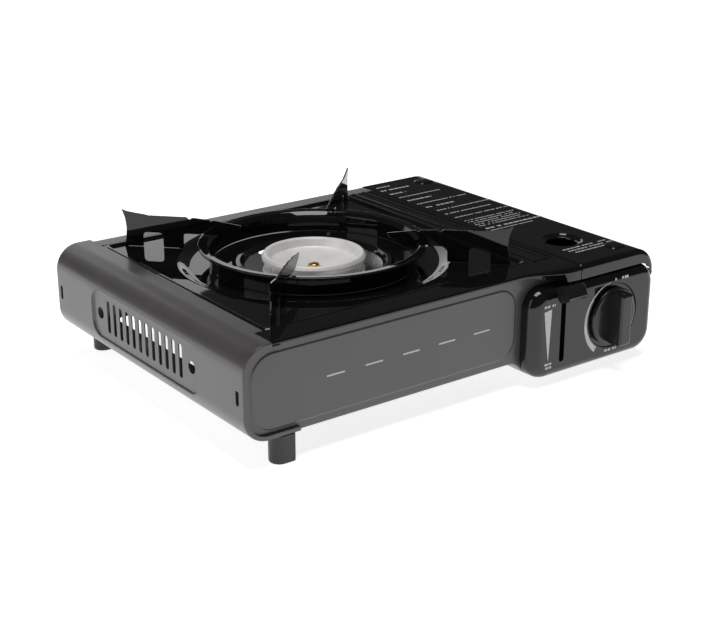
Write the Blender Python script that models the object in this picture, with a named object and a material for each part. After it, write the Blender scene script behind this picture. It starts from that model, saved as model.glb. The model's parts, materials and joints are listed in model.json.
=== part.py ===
"""Portable gas camping stove: one burner, a cartridge bay under a hinged lid, a regulator with a
piezo igniter behind the control knob, and a lever that locks the cartridge.

Every shape is drawn in bench coordinates, in millimetres: x runs right from the casing's left side,
y runs back from the face of the front panel, and z runs up from the ground. world() turns a bench
point into metres, with the origin on the ground under the middle of the stove.
"""
import math

import bmesh
import bpy
from mathutils import Matrix, Vector

# Driving dimensions, in millimetres.
WIDTH = 346.0
DEPTH = 248.0
KNOB_FRONT = -26.0
FLOOR_GAP = 19.3
CASE_TOP = 82.4
BAY_BOTTOM = 6.0
SHEET = 0.8
GAP = 0.3
TOP_RADIUS = 17.6
LEFT_LOW_RADIUS = 17.5
LOW_RADIUS = 15.0
RIM_PROUD = 2.5
REAR_INSET = 3.5

BURNER_X, BURNER_Y = 139.8, 124.0
PLATE_LEFT, PLATE_RIGHT, PLATE_BACK = 28.0, 271.7, 229.6
BORDER_RIGHT, BORDER_FRONT = 248.0, 16.5
STRIP_LEFT, LIP_DROP = 21.5, 2.4
POCKET_Z = 81.0
BOWL_Z = 76.8
FOOT_X, FOOT_FRONT_Y, FOOT_REAR_Y = 29.7, 4.5, 240.0
FRONT_EDGE_DROP = 1.0

BAY_LEFT = 249.0
CARTRIDGE_X, CARTRIDGE_Z = 307.0, 43.0
KNOB_X, KNOB_Z = 302.0, 40.0
PANEL_FACE = -12.0
PANEL_LEFT, PANEL_RIGHT, PANEL_TOP = 225.0, 344.6, 71.7
PANEL_CORNER = 15.0

BRIDGE_HEADING = 45.0
ARM_TURN = -1.1

LEVER_X = 253.5
LEVER_Y, LEVER_Z = 40.0, 43.0
LEVER_SWING = 24.0
LID_PIVOT_X, LID_PIVOT_Z = 343.0, 62.5

# Colour, roughness and metallic value of each material.
FINISHES = {
    "gray_paint": ((0.13, 0.125, 0.125), 0.35, 0.3),
    "black_enamel": ((0.006, 0.006, 0.006), 0.08, 0.0),
    "black_plastic": ((0.012, 0.012, 0.013), 0.35, 0.0),
    "burner_alloy": ((0.75, 0.74, 0.72), 0.4, 1.0),
    "cast_zinc": ((0.5, 0.5, 0.5), 0.45, 1.0),
    "plated_steel": ((0.6, 0.6, 0.58), 0.3, 1.0),
    "brass": ((0.8, 0.58, 0.25), 0.3, 1.0),
    "white_ceramic": ((0.85, 0.84, 0.8), 0.25, 0.0),
    "seal_rubber": ((0.02, 0.02, 0.02), 0.7, 0.0),
    "lead_cover": ((0.7, 0.68, 0.62), 0.5, 0.0),
}


def clear_scene():
    for thing in list(bpy.data.objects):
        bpy.data.objects.remove(thing)


def world(point):
    """Metres from the stove's own origin, for a bench point in millimetres."""
    middle = (DEPTH + KNOB_FRONT) / 2
    return Vector((point[0] - WIDTH / 2, point[1] - middle, point[2])) * 0.001


def finish(name):
    """The shared material with this name."""
    material = bpy.data.materials.get(name)
    if material is None:
        colour, roughness, metallic = FINISHES[name]
        material = bpy.data.materials.new(name)
        material.use_nodes = True
        shader = material.node_tree.nodes["Principled BSDF"]
        shader.inputs["Base Color"].default_value = (*colour, 1.0)
        shader.inputs["Roughness"].default_value = roughness
        shader.inputs["Metallic"].default_value = metallic
    return material


def shade(mesh):
    mesh.shade_smooth()
    mesh.set_sharp_from_angle(angle=math.radians(32))


def solid(name, points, faces, material):
    """One closed body from bench points and faces, with its faces turned outwards."""
    shape = bmesh.new()
    vertices = [shape.verts.new(world(p)) for p in points]
    for face in faces:
        shape.faces.new([vertices[i] for i in face])
    bmesh.ops.recalc_face_normals(shape, faces=shape.faces)
    mesh = bpy.data.meshes.new(name)
    shape.to_mesh(mesh)
    shape.free()
    shade(mesh)
    piece = bpy.data.objects.new(name, mesh)
    bpy.context.scene.collection.objects.link(piece)
    if material:
        mesh.materials.append(finish(material))
    return piece


# Outlines, as lists of (u, v) points in millimetres.

def arc(centre_u, centre_v, radius, start, end, steps):
    """Points on an arc, from angle start to angle end in degrees."""
    points = []
    for i in range(steps + 1):
        angle = math.radians(start + (end - start) * i / steps)
        points.append((centre_u + radius * math.cos(angle), centre_v + radius * math.sin(angle)))
    return points


def rounded(u0, v0, u1, v1, radii, steps=5):
    """A rectangle with corner radii (low left, low right, top right, top left)."""
    a, b, c, d = radii
    return (arc(u0 + a, v0 + a, a, 180, 270, steps) + arc(u1 - b, v0 + b, b, 270, 360, steps)
            + arc(u1 - c, v1 - c, c, 0, 90, steps) + arc(u0 + d, v1 - d, d, 90, 180, steps))


def sheet(path, thickness):
    """Outline of a bent sheet that lies to the left of an open path."""
    offset = []
    last = len(path) - 1
    for i, (u, v) in enumerate(path):
        before, after = path[max(i - 1, 0)], path[min(i + 1, last)]
        ends = [(before, (u, v)), ((u, v), after)]
        normals = []
        for (u0, v0), (u1, v1) in ends:
            length = math.hypot(u1 - u0, v1 - v0)
            if length > 1e-9:
                normals.append(((v0 - v1) / length, (u1 - u0) / length))
        nu = sum(n[0] for n in normals) / len(normals)
        nv = sum(n[1] for n in normals) / len(normals)
        scale = thickness / (nu * nu + nv * nv)
        offset.append((u + nu * scale, v + nv * scale))
    return list(path) + offset[::-1]


# Solids.

def prism(name, outline, axis, low, high, material=None):
    """An outline pushed along X (outline in y, z), Y (in x, z) or Z (in x, y)."""
    order = {"X": lambda u, v, w: (w, u, v), "Y": lambda u, v, w: (u, w, v),
             "Z": lambda u, v, w: (u, v, w)}[axis]
    count = len(outline)
    points = [order(u, v, low) for u, v in outline] + [order(u, v, high) for u, v in outline]
    faces = [list(range(count)), list(range(2 * count - 1, count - 1, -1))]
    for i in range(count):
        j = (i + 1) % count
        faces.append([i, j, count + j, count + i])
    return solid(name, points, faces, material)


def box(name, low, high, material=None):
    outline = [(low[0], low[1]), (high[0], low[1]), (high[0], high[1]), (low[0], high[1])]
    return prism(name, outline, "Z", low[2], high[2], material)


def loft(name, loops, material=None, closed=False):
    """A skin over loops with equal point counts; its two ends are capped unless it closes on itself."""
    count = len(loops[0])
    points = [p for loop in loops for p in loop]
    faces = []
    pairs = len(loops) if closed else len(loops) - 1
    for k in range(pairs):
        a, b = k * count, ((k + 1) % len(loops)) * count
        for i in range(count):
            j = (i + 1) % count
            faces.append([a + i, a + j, b + j, b + i])
    if not closed:
        faces.append(list(range(count)))
        faces.append(list(range(len(points) - 1, len(points) - count - 1, -1)))
    return solid(name, points, faces, material)


def turned(name, profile, foot, direction=(0, 0, 1), segments=32, material=None, ring=False):
    """A profile of (radius, height) points turned about an axis through foot.

    A plug has its two ends capped. A ring's profile is a closed outline that stays off the axis.
    """
    axis = Vector(direction).normalized()
    side = axis.orthogonal().normalized()
    across = axis.cross(side)
    loops = []
    for radius, height in profile:
        loop = []
        for i in range(segments):
            angle = 2 * math.pi * i / segments
            spoke = side * math.cos(angle) + across * math.sin(angle)
            loop.append(Vector(foot) + axis * height + spoke * radius)
        loops.append(loop)
    return loft(name, loops, material, closed=ring)


def rod(name, start, end, radius, material=None, segments=20):
    run = Vector(end) - Vector(start)
    return turned(name, [(radius, 0), (radius, run.length)], start, run, segments, material)


def combine(target, tool, operation):
    """Boolean of two solids; the tool is used up."""
    modifier = target.modifiers.new(operation, "BOOLEAN")
    modifier.operation = operation
    modifier.solver = "EXACT"
    modifier.object = tool
    result = target.evaluated_get(bpy.context.evaluated_depsgraph_get())
    mesh = bpy.data.meshes.new_from_object(result)
    target.modifiers.clear()
    mesh.name = target.name
    target.data = mesh
    shade(mesh)
    bpy.data.objects.remove(tool)


def cut(target, tool):
    combine(target, tool, "DIFFERENCE")


def join(target, tool):
    combine(target, tool, "UNION")


def set_axis(piece, point):
    """Moves a piece's origin to a bench point on its joint's axis."""
    origin = world(point)
    piece.data.transform(Matrix.Translation(-origin))
    piece.location = origin


def screw(name, point, direction, head=3.2, shank=1.6, length=7.0):
    """A pan-head screw whose head rests at point, with its shank along direction."""
    profile = [(head * 0.7, -2.0), (head, -1.3), (head, -0.05), (shank, -0.05), (shank, length)]
    piece = turned(name, profile, point, direction, 16, "plated_steel")
    axis = Vector(direction).normalized()
    side = axis.orthogonal().normalized()
    across = axis.cross(side)
    corner = Vector(point) - axis * 2.6
    slot = []
    for height in (0.0, 1.3):
        for u, v in ((-5, -0.5), (5, -0.5), (5, 0.5), (-5, 0.5)):
            slot.append(corner + side * u + across * v + axis * height)
    cut(piece, loft("slot", [slot[:4], slot[4:]]))
    return piece


# Casing.

def make_left_shell():
    """The C-shaped side of the casing, with a turned-in rim at each end and the vent panel."""
    low = LEFT_LOW_RADIUS
    outer = ([(41.0, FLOOR_GAP)] + arc(low, FLOOR_GAP + low, low, 270, 180, 8)
             + arc(TOP_RADIUS, CASE_TOP - TOP_RADIUS, TOP_RADIUS, 180, 90, 8)
             + [(PLATE_LEFT - GAP, CASE_TOP)])
    section = sheet(outer, -SHEET)
    shell = prism("left_shell", section, "Y", -RIM_PROUD, DEPTH, "gray_paint")
    rim = sheet(outer, -3.0)
    join(shell, prism("rim", rim, "Y", -RIM_PROUD, -GAP))
    join(shell, prism("rim", rim, "Y", DEPTH - REAR_INSET + GAP, DEPTH))

    tray = [(50.0, 33.0), (194.0, 67.0)]
    recess = 1.5
    wall = rounded(tray[0][0] - 1, tray[0][1] - 1, tray[1][0] + 1, tray[1][1] + 1, [12.0] * 4)
    join(shell, prism("tray", wall, "X", 0.4, recess + SHEET))
    hollow = []
    for x, inset in ((-1.0, 0.0), (0.3, 0.2), (recess, 1.4)):
        outline = rounded(tray[0][0] + inset, tray[0][1] + inset, tray[1][0] - inset,
                          tray[1][1] - inset, [11.0 - inset] * 4)
        hollow.append([(x, y, z) for y, z in outline])
    cut(shell, loft("hollow", hollow))
    for i in range(12):
        y = 74.4 + i * 8.864
        vent = rounded(y - 2.1, 38.8, y + 2.1, 62.3, [2.05] * 4, 3)
        cut(shell, prism("vent", vent, "X", -2, 5))
    for y in (60.4, 183.7):
        cut(shell, rod("hole", (-2, y, 50.5), (5, y, 50.5), 4.25, segments=16))
    for y in (4.8, 241.5):
        cut(shell, prism("tab_slot", rounded(y - 1.8, 44.2, y + 1.8, 54.6, [1.7] * 4, 3), "X", -2, 5))
    # The strip stops short of the plate's front lip.
    cut(shell, box("corner", (STRIP_LEFT - GAP, -5, CASE_TOP - LIP_DROP - GAP),
                   (40, BORDER_FRONT + 0.9 + GAP, CASE_TOP + 2)))
    return shell


def step_path(inset=0.0):
    """Underside of the casing from left to right: level, then down an S to the cartridge bay."""
    rise = FLOOR_GAP - BAY_BOTTOM
    path = []
    for i in range(9):
        t = i / 8
        drop = rise * (1 - math.cos(math.pi * t)) / 2
        path.append((216.0 + 23.0 * t, FLOOR_GAP - drop + inset))
    return path


def panel_outline(inset, drop=0.0):
    """Outline of a front or rear panel: inside the casing, and low enough to clear the lid.

    Past the end of the left shell the lower edge hangs lower by drop.
    """
    right, right_top, left_top = WIDTH - 1.4, 71.0, 271.0
    top = CASE_TOP - inset
    low = LEFT_LOW_RADIUS
    r_top = TOP_RADIUS - inset
    outline = arc(low, FLOOR_GAP + low, low - inset, 180, 270, 8)
    if drop:
        outline += [(41.6, FLOOR_GAP + inset), (42.5, FLOOR_GAP + inset - drop)]
    outline += step_path(inset - drop)
    outline += arc(right - 14, BAY_BOTTOM + inset + 14, 14, 270, 360, 6)
    outline += [(right, 63.5), (right - 3.5, right_top), (left_top, right_top), (left_top, top - 1.0)]
    outline += arc(TOP_RADIUS, CASE_TOP - TOP_RADIUS, r_top, 90, 180, 8)
    return outline


def make_front_panel():
    inset = SHEET + GAP
    outline = panel_outline(inset, FRONT_EDGE_DROP)
    panel = prism("front_panel", outline, "Y", 0.0, SHEET, "gray_paint")
    # The raised field inside a rounded frame.
    radii = [16.0, 14.0, 14.0, 16.0]
    field = []
    for y, grow in ((0.4, 0.0), (0.0, 0.0), (-0.7, -0.9)):
        outline = rounded(6.6 - grow, 25.2 - grow, 219 + grow, 75 + grow, radii, 6)
        field.append([(x, y, z) for x, z in outline])
    join(panel, loft("field", field))
    cut(panel, rod("shaft_hole", (KNOB_X, -5, KNOB_Z), (KNOB_X, 5, KNOB_Z), 5.5))
    slot = rounded(LEVER_X - 2.3, 16.5, LEVER_X + 2.3, 69.5, [2.2] * 4, 3)
    cut(panel, prism("slot", slot, "Y", -5, 5))
    low = FLOOR_GAP + inset - FRONT_EDGE_DROP
    lip = sheet([(42.5, low), (214.0, low)], SHEET)
    join(panel, prism("lip", lip, "Y", 0.4, 9.0))
    return panel


def make_rear_panel():
    """The back wall, folded forward into the gray strip behind the top plate."""
    inset = SHEET + GAP
    back = DEPTH - REAR_INSET
    outline = panel_outline(inset)
    panel = prism("rear_panel", outline, "Y", back - SHEET, back, "gray_paint")
    wall = [(back, 70.0), (back, CASE_TOP - 3.0)]
    strip = wall + arc(back - 3, CASE_TOP - 3, 3, 0, 90, 4)[1:] + [(PLATE_BACK + GAP, CASE_TOP)]
    join(panel, prism("strip", sheet(strip, SHEET), "X", PLATE_LEFT, 271.4))
    for i in range(7):
        x = 60 + i * 22
        cut(panel, prism("vent", rounded(x, 44, x + 12, 49, [2.4] * 4, 3), "Y", back - 5, back + 5))
    return panel


def make_right_shell():
    """The floor and the right-hand wall of the cartridge bay."""
    path = step_path()[1:]
    path += arc(WIDTH - LOW_RADIUS, BAY_BOTTOM + LOW_RADIUS, LOW_RADIUS, 270, 360, 8)
    path += [(WIDTH, 57.5)]
    shell = prism("right_shell", sheet(path, SHEET), "Y", -RIM_PROUD + 1.5, DEPTH, "gray_paint")
    cut(shell, box("front", (210, -5, -5), (342, 0.3 + SHEET, BAY_BOTTOM + SHEET + 20)))
    for y in (60.0, 90.0, 120.0, 150.0, 180.0):
        slot = rounded(280, y, 330, y + 5, [2.4] * 4, 3)
        cut(shell, prism("drain", slot, "Z", 0, 12))
    return shell


def make_partition():
    """The heat shield between the burner space and the cartridge bay."""
    top = CASE_TOP - SHEET - GAP
    wall = box("partition_wall", (BAY_LEFT, 1.2, 7.2), (BAY_LEFT + SHEET, 241.0, top), "plated_steel")
    foot = box("foot", (BAY_LEFT - 6, 30, 7.2), (BAY_LEFT + 0.4, 236, 7.2 + SHEET))
    join(wall, foot)
    pipe = elbow_point()
    cut(wall, rod("pipe_hole", (240, pipe.y, pipe.z), (260, pipe.y, pipe.z), 4.5))
    cut(wall, rod("lead_hole", (240, 15, 68), (260, 15, 68), 3.0))
    return wall


def corner_angles(half_x_low, half_x_high, half_y_low, half_y_high, count):
    """Even angles around the burner, with each corner of the plate's border among them."""
    corners = [math.atan2(-half_y_low, half_x_high), math.atan2(half_y_high, half_x_high),
               math.atan2(half_y_high, -half_x_low), math.atan2(-half_y_low, -half_x_low)]
    corners = [c % (2 * math.pi) for c in corners]
    step = 2 * math.pi / count
    angles = [i * step for i in range(count)]
    for corner in corners:
        nearest = min(range(count), key=lambda i: abs(angles[i] - corner))
        angles[nearest] = corner
    return sorted(angles)


def make_top_plate():
    """The pressed plate: a bead, a sunken square with four pockets, and a bowl with the burner hole."""
    x0, x1 = PLATE_LEFT, BORDER_RIGHT
    y0, y1 = BORDER_FRONT, PLATE_BACK
    angles = corner_angles(BURNER_X - x0, x1 - BURNER_X, BURNER_Y - y0, y1 - BURNER_Y, 64)

    def edge(angle, inset, radius):
        """Distance from the burner to the border moved in by inset, or to a circle if that is nearer."""
        c, s = math.cos(angle), math.sin(angle)
        reach = radius
        if abs(c) > 1e-6:
            side = (x1 - inset - BURNER_X) if c > 0 else (x0 + inset - BURNER_X)
            reach = min(reach, side / c)
        if abs(s) > 1e-6:
            side = (y1 - inset - BURNER_Y) if s > 0 else (y0 + inset - BURNER_Y)
            reach = min(reach, side / s)
        return reach

    rows = [(0.2, 999, CASE_TOP), (0.8, 999, CASE_TOP + 0.4), (1.8, 999, CASE_TOP + 0.4),
            (2.4, 999, CASE_TOP), (2.9, 999, CASE_TOP - 0.7), (3.4, 145.0, POCKET_Z),
            (5.0, 96.5, POCKET_Z), (6.5, 94.5, POCKET_Z - 0.6), (8.0, 92.5, POCKET_Z - 2.1),
            (9.5, 90.5, BOWL_Z + 0.6), (11.0, 88.5, BOWL_Z), (20, 58, BOWL_Z),
            (20, 55.5, BOWL_Z + 1.5), (20, 52, BOWL_Z + 1.5), (20, 49, BOWL_Z - 1.5)]
    top, under = [], []
    for inset, radius, z in rows:
        loop = []
        for angle in angles:
            reach = edge(angle, inset, radius)
            loop.append((BURNER_X + reach * math.cos(angle), BURNER_Y + reach * math.sin(angle), z))
        top.append(loop)
        under.append([(x, y, z - SHEET) for x, y, z in loop])
    plate = loft("top_plate", top + under[::-1], "black_enamel", closed=True)

    strips = [((STRIP_LEFT, -0.6), (PLATE_RIGHT, y0 + 0.9)), ((x1 - 0.9, y0), (PLATE_RIGHT, y1))]
    for (u0, v0), (u1, v1) in strips:
        join(plate, box("strip", (u0, v0, CASE_TOP - SHEET), (u1, v1, CASE_TOP)))
    lip = [(-1.1, CASE_TOP - LIP_DROP)] + arc(0.0, CASE_TOP - 1.1, 1.1, 180, 90, 4)
    join(plate, prism("lip", sheet(lip, -SHEET), "X", STRIP_LEFT, PLATE_RIGHT))
    ridge = [(250.5, CASE_TOP - 0.3), (252.5, CASE_TOP + 1.2), (262.5, CASE_TOP + 1.2),
             (264.5, CASE_TOP - 0.3)]
    join(plate, prism("ridge", ridge, "Y", 24, 226))
    return plate


def dome_loops(low, high, radii, rows):
    """Loops of a rounded rectangle that shrinks by rows of (inset, y)."""
    loops = []
    for inset, y in rows:
        inner = [max(r - inset, 0.6) for r in radii]
        outline = rounded(low[0] + inset, low[1] + inset, high[0] - inset, high[1] - inset, inner, 6)
        loops.append([(x, y, z) for x, z in outline])
    return loops


def make_cover():
    """The control panel's shell, with its lever slot and the recess of the knob."""
    low, high = (PANEL_LEFT, BAY_BOTTOM), (PANEL_RIGHT, PANEL_TOP)
    radii = [16.0, 16.0, PANEL_CORNER, 14.0]
    wall = 1.8
    outer = dome_loops(low, high, radii, [(0, -GAP), (0, -4.0), (0.7, -7.0), (2.2, -9.4),
                                          (4.4, -11.2), (7.5, PANEL_FACE)])
    inner = dome_loops(low, high, radii, [(wall, -GAP), (wall, -3.5), (2.4, -5.6), (3.6, -8.0),
                                          (5.4, -9.5), (7.9, PANEL_FACE + wall)])
    cover = loft("control_panel", outer[::-1] + inner, "black_enamel")
    well = [(23.4, -3.0), (23.4, 0.8), (21.9, 1.1)]
    cut(cover, turned("well", well, (KNOB_X, PANEL_FACE, KNOB_Z), (0, 1, 0), 40))
    cut(cover, rod("shaft_hole", (KNOB_X, -20, KNOB_Z), (KNOB_X, 5, KNOB_Z), 5.5))
    slot = rounded(LEVER_X - 2.3, 16.5, LEVER_X + 2.3, 69.5, [2.2] * 4, 3)
    cut(cover, prism("slot", slot, "Y", -20, 5))
    return cover


def make_lid():
    """The bay's lid: a flat top, a rounded right-hand side, two skirts and two hinge ears."""
    left, right, base, skirt = 272.3, WIDTH, 58.3, PANEL_TOP + 0.4
    front, back = -9.0, 246.0
    shoulder = TOP_RADIUS + 0.4
    crown = arc(right - shoulder, CASE_TOP - shoulder, shoulder, 0, 90, 8)
    crown += arc(left + 1.2, CASE_TOP - 1.2, 1.2, 90, 180, 3)
    # The end skirts follow the control panel's top right corner down to the hinge.
    hem = arc(PANEL_RIGHT - PANEL_CORNER, PANEL_TOP - PANEL_CORNER, PANEL_CORNER + 0.4, 90, 30, 6)
    outside = [(left, skirt)] + hem + [(right - SHEET, base), (right, base)] + crown
    lid = prism("cartridge_lid", outside, "Y", front, back, "black_enamel")
    under = arc(right - shoulder, CASE_TOP - shoulder, shoulder - SHEET, 0, 90, 8)
    hollow = [(left + SHEET, 50.0), (right - SHEET, 50.0)] + under + [(left + SHEET, CASE_TOP - SHEET)]
    cut(lid, prism("hollow", hollow, "Y", front + SHEET, back - SHEET))
    cut(lid, box("edge", (left - 1, front + 3, 60.0), (left + 2, back - 3, CASE_TOP - 3.5)))
    # The right-hand wall stops short of the panels that carry the hinge pins.
    cut(lid, box("front_hem", (right - 4, front - 1, 50.0), (right + 2, front + SHEET, 65.2)))
    for start, end in ((front + SHEET, 3.5), (241.0, back + 1)):
        cut(lid, box("relief", (right - 8, start, 50.0), (right + 2, end, 67.5)))
    for y in (5.0, 237.0):
        ear = ([(right - 0.4, LID_PIVOT_Z - 3)] + [(right - 0.4, LID_PIVOT_Z + 8)]
               + arc(LID_PIVOT_X, LID_PIVOT_Z, 2.8, 90, 270, 6))
        join(lid, prism("ear", ear, "Y", y, y + 1.2))
        cut(lid, rod("bore", (LID_PIVOT_X, y - 2, LID_PIVOT_Z), (LID_PIVOT_X, y + 3, LID_PIVOT_Z),
                     1.8, segments=16))
    hole_x, hole_y = 302.0, 42.0
    cut(lid, rod("finger_hole", (hole_x, hole_y, 70), (hole_x, hole_y, 90), 11.0, segments=32))
    ring = [(11.0, -3.2), (15.0, -0.6), (15.0, -0.1), (14.2, -0.1), (11.8, -1.2), (11.8, -3.2)]
    cup = turned("cup", ring, (hole_x, hole_y, CASE_TOP), segments=32, ring=True)
    cut(lid, rod("dish", (hole_x, hole_y, 70), (hole_x, hole_y, 90), 14.6, segments=32))
    join(lid, cup)
    for y in (9.0, 226.0):
        bump = [(316.0, CASE_TOP - 0.5), (317.5, CASE_TOP + 0.9), (327.0, CASE_TOP + 0.9),
                (330.0, CASE_TOP - 0.5)]
        join(lid, prism("bump", bump, "Y", y - 6, y + 6))
    set_axis(lid, (LID_PIVOT_X, 120, LID_PIVOT_Z))
    return lid


def make_lid_pins():
    for name, start, end in (("hinge_pin_front", 1.1, 8.2), ("hinge_pin_rear", 234.0, 243.4)):
        rod(name, (LID_PIVOT_X, start, LID_PIVOT_Z), (LID_PIVOT_X, end, LID_PIVOT_Z), 1.5,
            "plated_steel", 16)


def make_feet():
    """Two tall feet on the left, two low ones under the bay."""
    for name, y in (("foot_front_left", FOOT_FRONT_Y), ("foot_rear_left", FOOT_REAR_Y)):
        loops = []
        for z, inset in ((0.0, 0.9), (0.9, 0.2), (FLOOR_GAP - GAP, 0.0)):
            outline = rounded(FOOT_X - 7.5 + inset, y - 7.0 + inset, FOOT_X + 7.5 - inset,
                              y + 7.0 - inset, [6.8, 1.2, 1.2, 6.8], 5)
            loops.append([(u, v, z) for u, v in outline])
        loft(name, loops, "black_plastic")
    for name, x, y in (("foot_front_right", 270.0, 20.0), ("foot_mid_right", 325.0, 20.0),
                       ("foot_rear_right", 300.0, 228.0)):
        profile = [(7.0, 0.0), (8.0, 1.0), (8.0, BAY_BOTTOM - GAP)]
        turned(name, profile, (x, y, 0), segments=24, material="black_plastic")


# Pan support.

def make_pan_ring():
    """The enamelled ring with a rolled lip that the four arms are welded to."""
    low = BOWL_Z + 0.5
    profile = [(72.2, low), (73.4, low), (73.6, 87.6), (75.6, 89.9), (79.8, 90.3), (81.3, 90.3),
               (81.3, 91.4), (80.2, 91.9), (75.0, 91.4), (72.4, 88.6)]
    foot = (BURNER_X, BURNER_Y, 0)
    return turned("pan_ring", profile, foot, segments=56, material="black_enamel", ring=True)


def arm_outline():
    """One arm in (distance from the burner, height): a jagged top, three legs and two windows."""
    foot = POCKET_Z + GAP
    top = [(52.0, 100.0), (60.0, 101.2), (72.6, 103.0), (74.0, 101.9), (75.4, 103.2), (87.6, 104.2),
           (89.8, 102.8), (92.2, 104.4)]
    top += [(96 + 7 * i, 104.5 + 0.35 * (i % 2)) for i in range(4)]
    top += [(122.0, 105.2), (130.0, 106.2), (136.8, 107.2), (139.8, 108.3)]
    outer = [(137.9, 104.0), (136.8, 99.5), (136.6, 94.0), (137.2, 88.0), (138.5, foot)]
    legs = [(124.5, foot)] + arc(121.0, 88.5, 3.5, 0, 90, 3) + arc(113.1, 88.5, 3.5, 90, 180, 3)
    legs += [(109.6, foot), (94.7, foot), (94.5, 89.6), (93.2, 92.2), (74.0, 92.2)]
    legs += [(66.0, 92.4), (54.0, 97.0)]
    return top + outer + legs


def make_pan_arms():
    outline = arm_outline()
    thickness = 1.2
    for name, heading in (("pan_arm_right_rear", 45), ("pan_arm_left_rear", 135),
                          ("pan_arm_left_front", 225), ("pan_arm_right_front", 315)):
        angle = math.radians(heading + ARM_TURN)
        c, s = math.cos(angle), math.sin(angle)
        loops = []
        for side in (-thickness / 2, thickness / 2):
            loops.append([(BURNER_X + r * c - side * s, BURNER_Y + r * s + side * c, z)
                          for r, z in outline])
        loft(name, loops, "black_enamel")


# Burner.

def make_burner():
    foot = (BURNER_X, BURNER_Y, 0)
    cup = [(30.5, 69.3), (36.0, 69.3), (36.0, 71.8), (34.6, 72.2), (34.6, 78.2), (36.4, 79.2),
           (36.5, 81.4), (34.2, 83.8), (31.6, 82.4), (30.0, 77.6), (7.0, 72.4), (5.0, 72.4),
           (5.0, 70.8), (7.2, 70.8), (29.6, 75.6), (32.6, 76.8), (32.6, 71.6), (30.5, 71.0)]
    turned("burner_ring", cup, foot, segments=44, material="burner_alloy", ring=True)

    base = turned("burner_base", [(26.0, 56.0), (31.5, 58.0), (33.5, 62.0), (33.5, 69.0)], foot,
                  segments=40, material="burner_alloy")
    cut(base, turned("chamber", [(22.0, 59.0), (29.5, 62.0), (29.5, 75.0)], foot, segments=40))
    join(base, rod("boss", (BURNER_X, BURNER_Y, 57.5), (BURNER_X, BURNER_Y, 70.4), 5.0))
    cut(base, rod("thread", (BURNER_X, BURNER_Y, 61.0), (BURNER_X, BURNER_Y, 75.0), 2.3, segments=12))
    lug = rounded(BURNER_X - 50, BURNER_Y - 7, BURNER_X - 25, BURNER_Y + 7, [6.5, 1, 1, 6.5], 4)
    join(base, prism("lug", lug, "Z", 62.0, 66.0))
    neck_start, neck_end = tube_line(20.0), tube_line(42.0)
    join(base, rod("neck", neck_start, neck_end, 9.5, segments=24))
    cut(base, rod("mouth", tube_line(18.0), tube_line(50.0), 7.6, segments=24))

    top = [(2.0, 62.0), (2.0, 72.6), (4.3, 72.6), (4.3, 74.4), (3.6, 75.2)]
    bolt = turned("burner_screw", top, foot, segments=20, material="brass")
    cut(bolt, box("slot", (BURNER_X - 6, BURNER_Y - 0.6, 74.3), (BURNER_X + 6, BURNER_Y + 0.6, 77)))


TUBE_END = (229.0, 31.0, 29.0)


def tube_line(distance):
    """A point on the mixing tube's axis, at a distance from the burner's axis."""
    start = Vector((BURNER_X, BURNER_Y, 62.5))
    run = Vector(TUBE_END) - start
    return start + run.normalized() * distance


def elbow_point():
    """Where the gas pipe turns into the mixing tube's jet."""
    return tube_line(tube_length() + 9.4)


def tube_length():
    return (Vector(TUBE_END) - tube_line(0.0)).length


def make_gas_train():
    """Mixing tube, air collar, jet, pipe and regulator with its seal and diaphragm cap."""
    length = tube_length()
    tube = rod("mixing_tube", tube_line(43.0), tube_line(length), 8.5, "plated_steel", 24)
    cut(tube, rod("bore", tube_line(40.0), tube_line(length + 5), 7.2, segments=24))
    run = (tube_line(10.0) - tube_line(0.0)).normalized()
    collar = [(9.0, 0.0), (10.2, 0.0), (10.2, 14.0), (9.0, 14.0)]
    air = turned("air_collar", collar, tube_line(length - 24), run, 24, "plated_steel", ring=True)
    window = tube_line(length - 17)
    cut(air, rod("window", window, window + Vector((0, 0, 14)), 3.5, segments=12))

    jet_line = [(3.0, 0.0), (3.0, 8.0), (1.4, 11.0)]
    jet = turned("gas_jet", jet_line, Vector(TUBE_END) + run * 9.0, -run, 20, "brass")
    cut(jet, rod("bore", Vector(TUBE_END) + run * 9.6, Vector(TUBE_END) - run * 5, 0.6, segments=8))
    elbow = elbow_point()
    pipe = rod("gas_pipe", (elbow.x + 2.0, elbow.y, elbow.z), (279.6, elbow.y, elbow.z), 3.0,
               "plated_steel", 16)
    nut = rod("nut", elbow, elbow + run * 8.0, 4.6, segments=6)
    join(pipe, nut)

    body = prism("regulator_body", rounded(280, 14, 326, 58, [7] * 4, 4), "Y", 9.5, 29.0, "cast_zinc")
    join(body, rod("inlet", (CARTRIDGE_X, 25, CARTRIDGE_Z), (CARTRIDGE_X, 36, CARTRIDGE_Z), 13.0))
    cut(body, rod("inlet_bore", (CARTRIDGE_X, 32, CARTRIDGE_Z), (CARTRIDGE_X, 40, CARTRIDGE_Z), 7.0))
    cut(body, rod("shaft_bore", (KNOB_X, 5, KNOB_Z), (KNOB_X, 18, KNOB_Z), 3.4, segments=16))
    seal = [(3.0, 32.5), (6.6, 32.5), (6.6, 35.0), (3.0, 35.0)]
    turned("inlet_seal", seal, (CARTRIDGE_X, 0, CARTRIDGE_Z), (0, 1, 0), 20, "seal_rubber", ring=True)
    cap = [(11.5, 0.3), (11.5, 4.0), (9.0, 5.5)]
    turned("diaphragm_cap", cap, (326.0, 19, 36), (1, 0, 0), 28, "cast_zinc")
    return body


def bridge_point(along, across, z):
    """A bench point in the bridge's own directions, which lie square to the mixing tube."""
    c, s = math.cos(math.radians(BRIDGE_HEADING)), math.sin(math.radians(BRIDGE_HEADING))
    return BURNER_X + along * c - across * s, BURNER_Y + along * s + across * c, z


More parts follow.
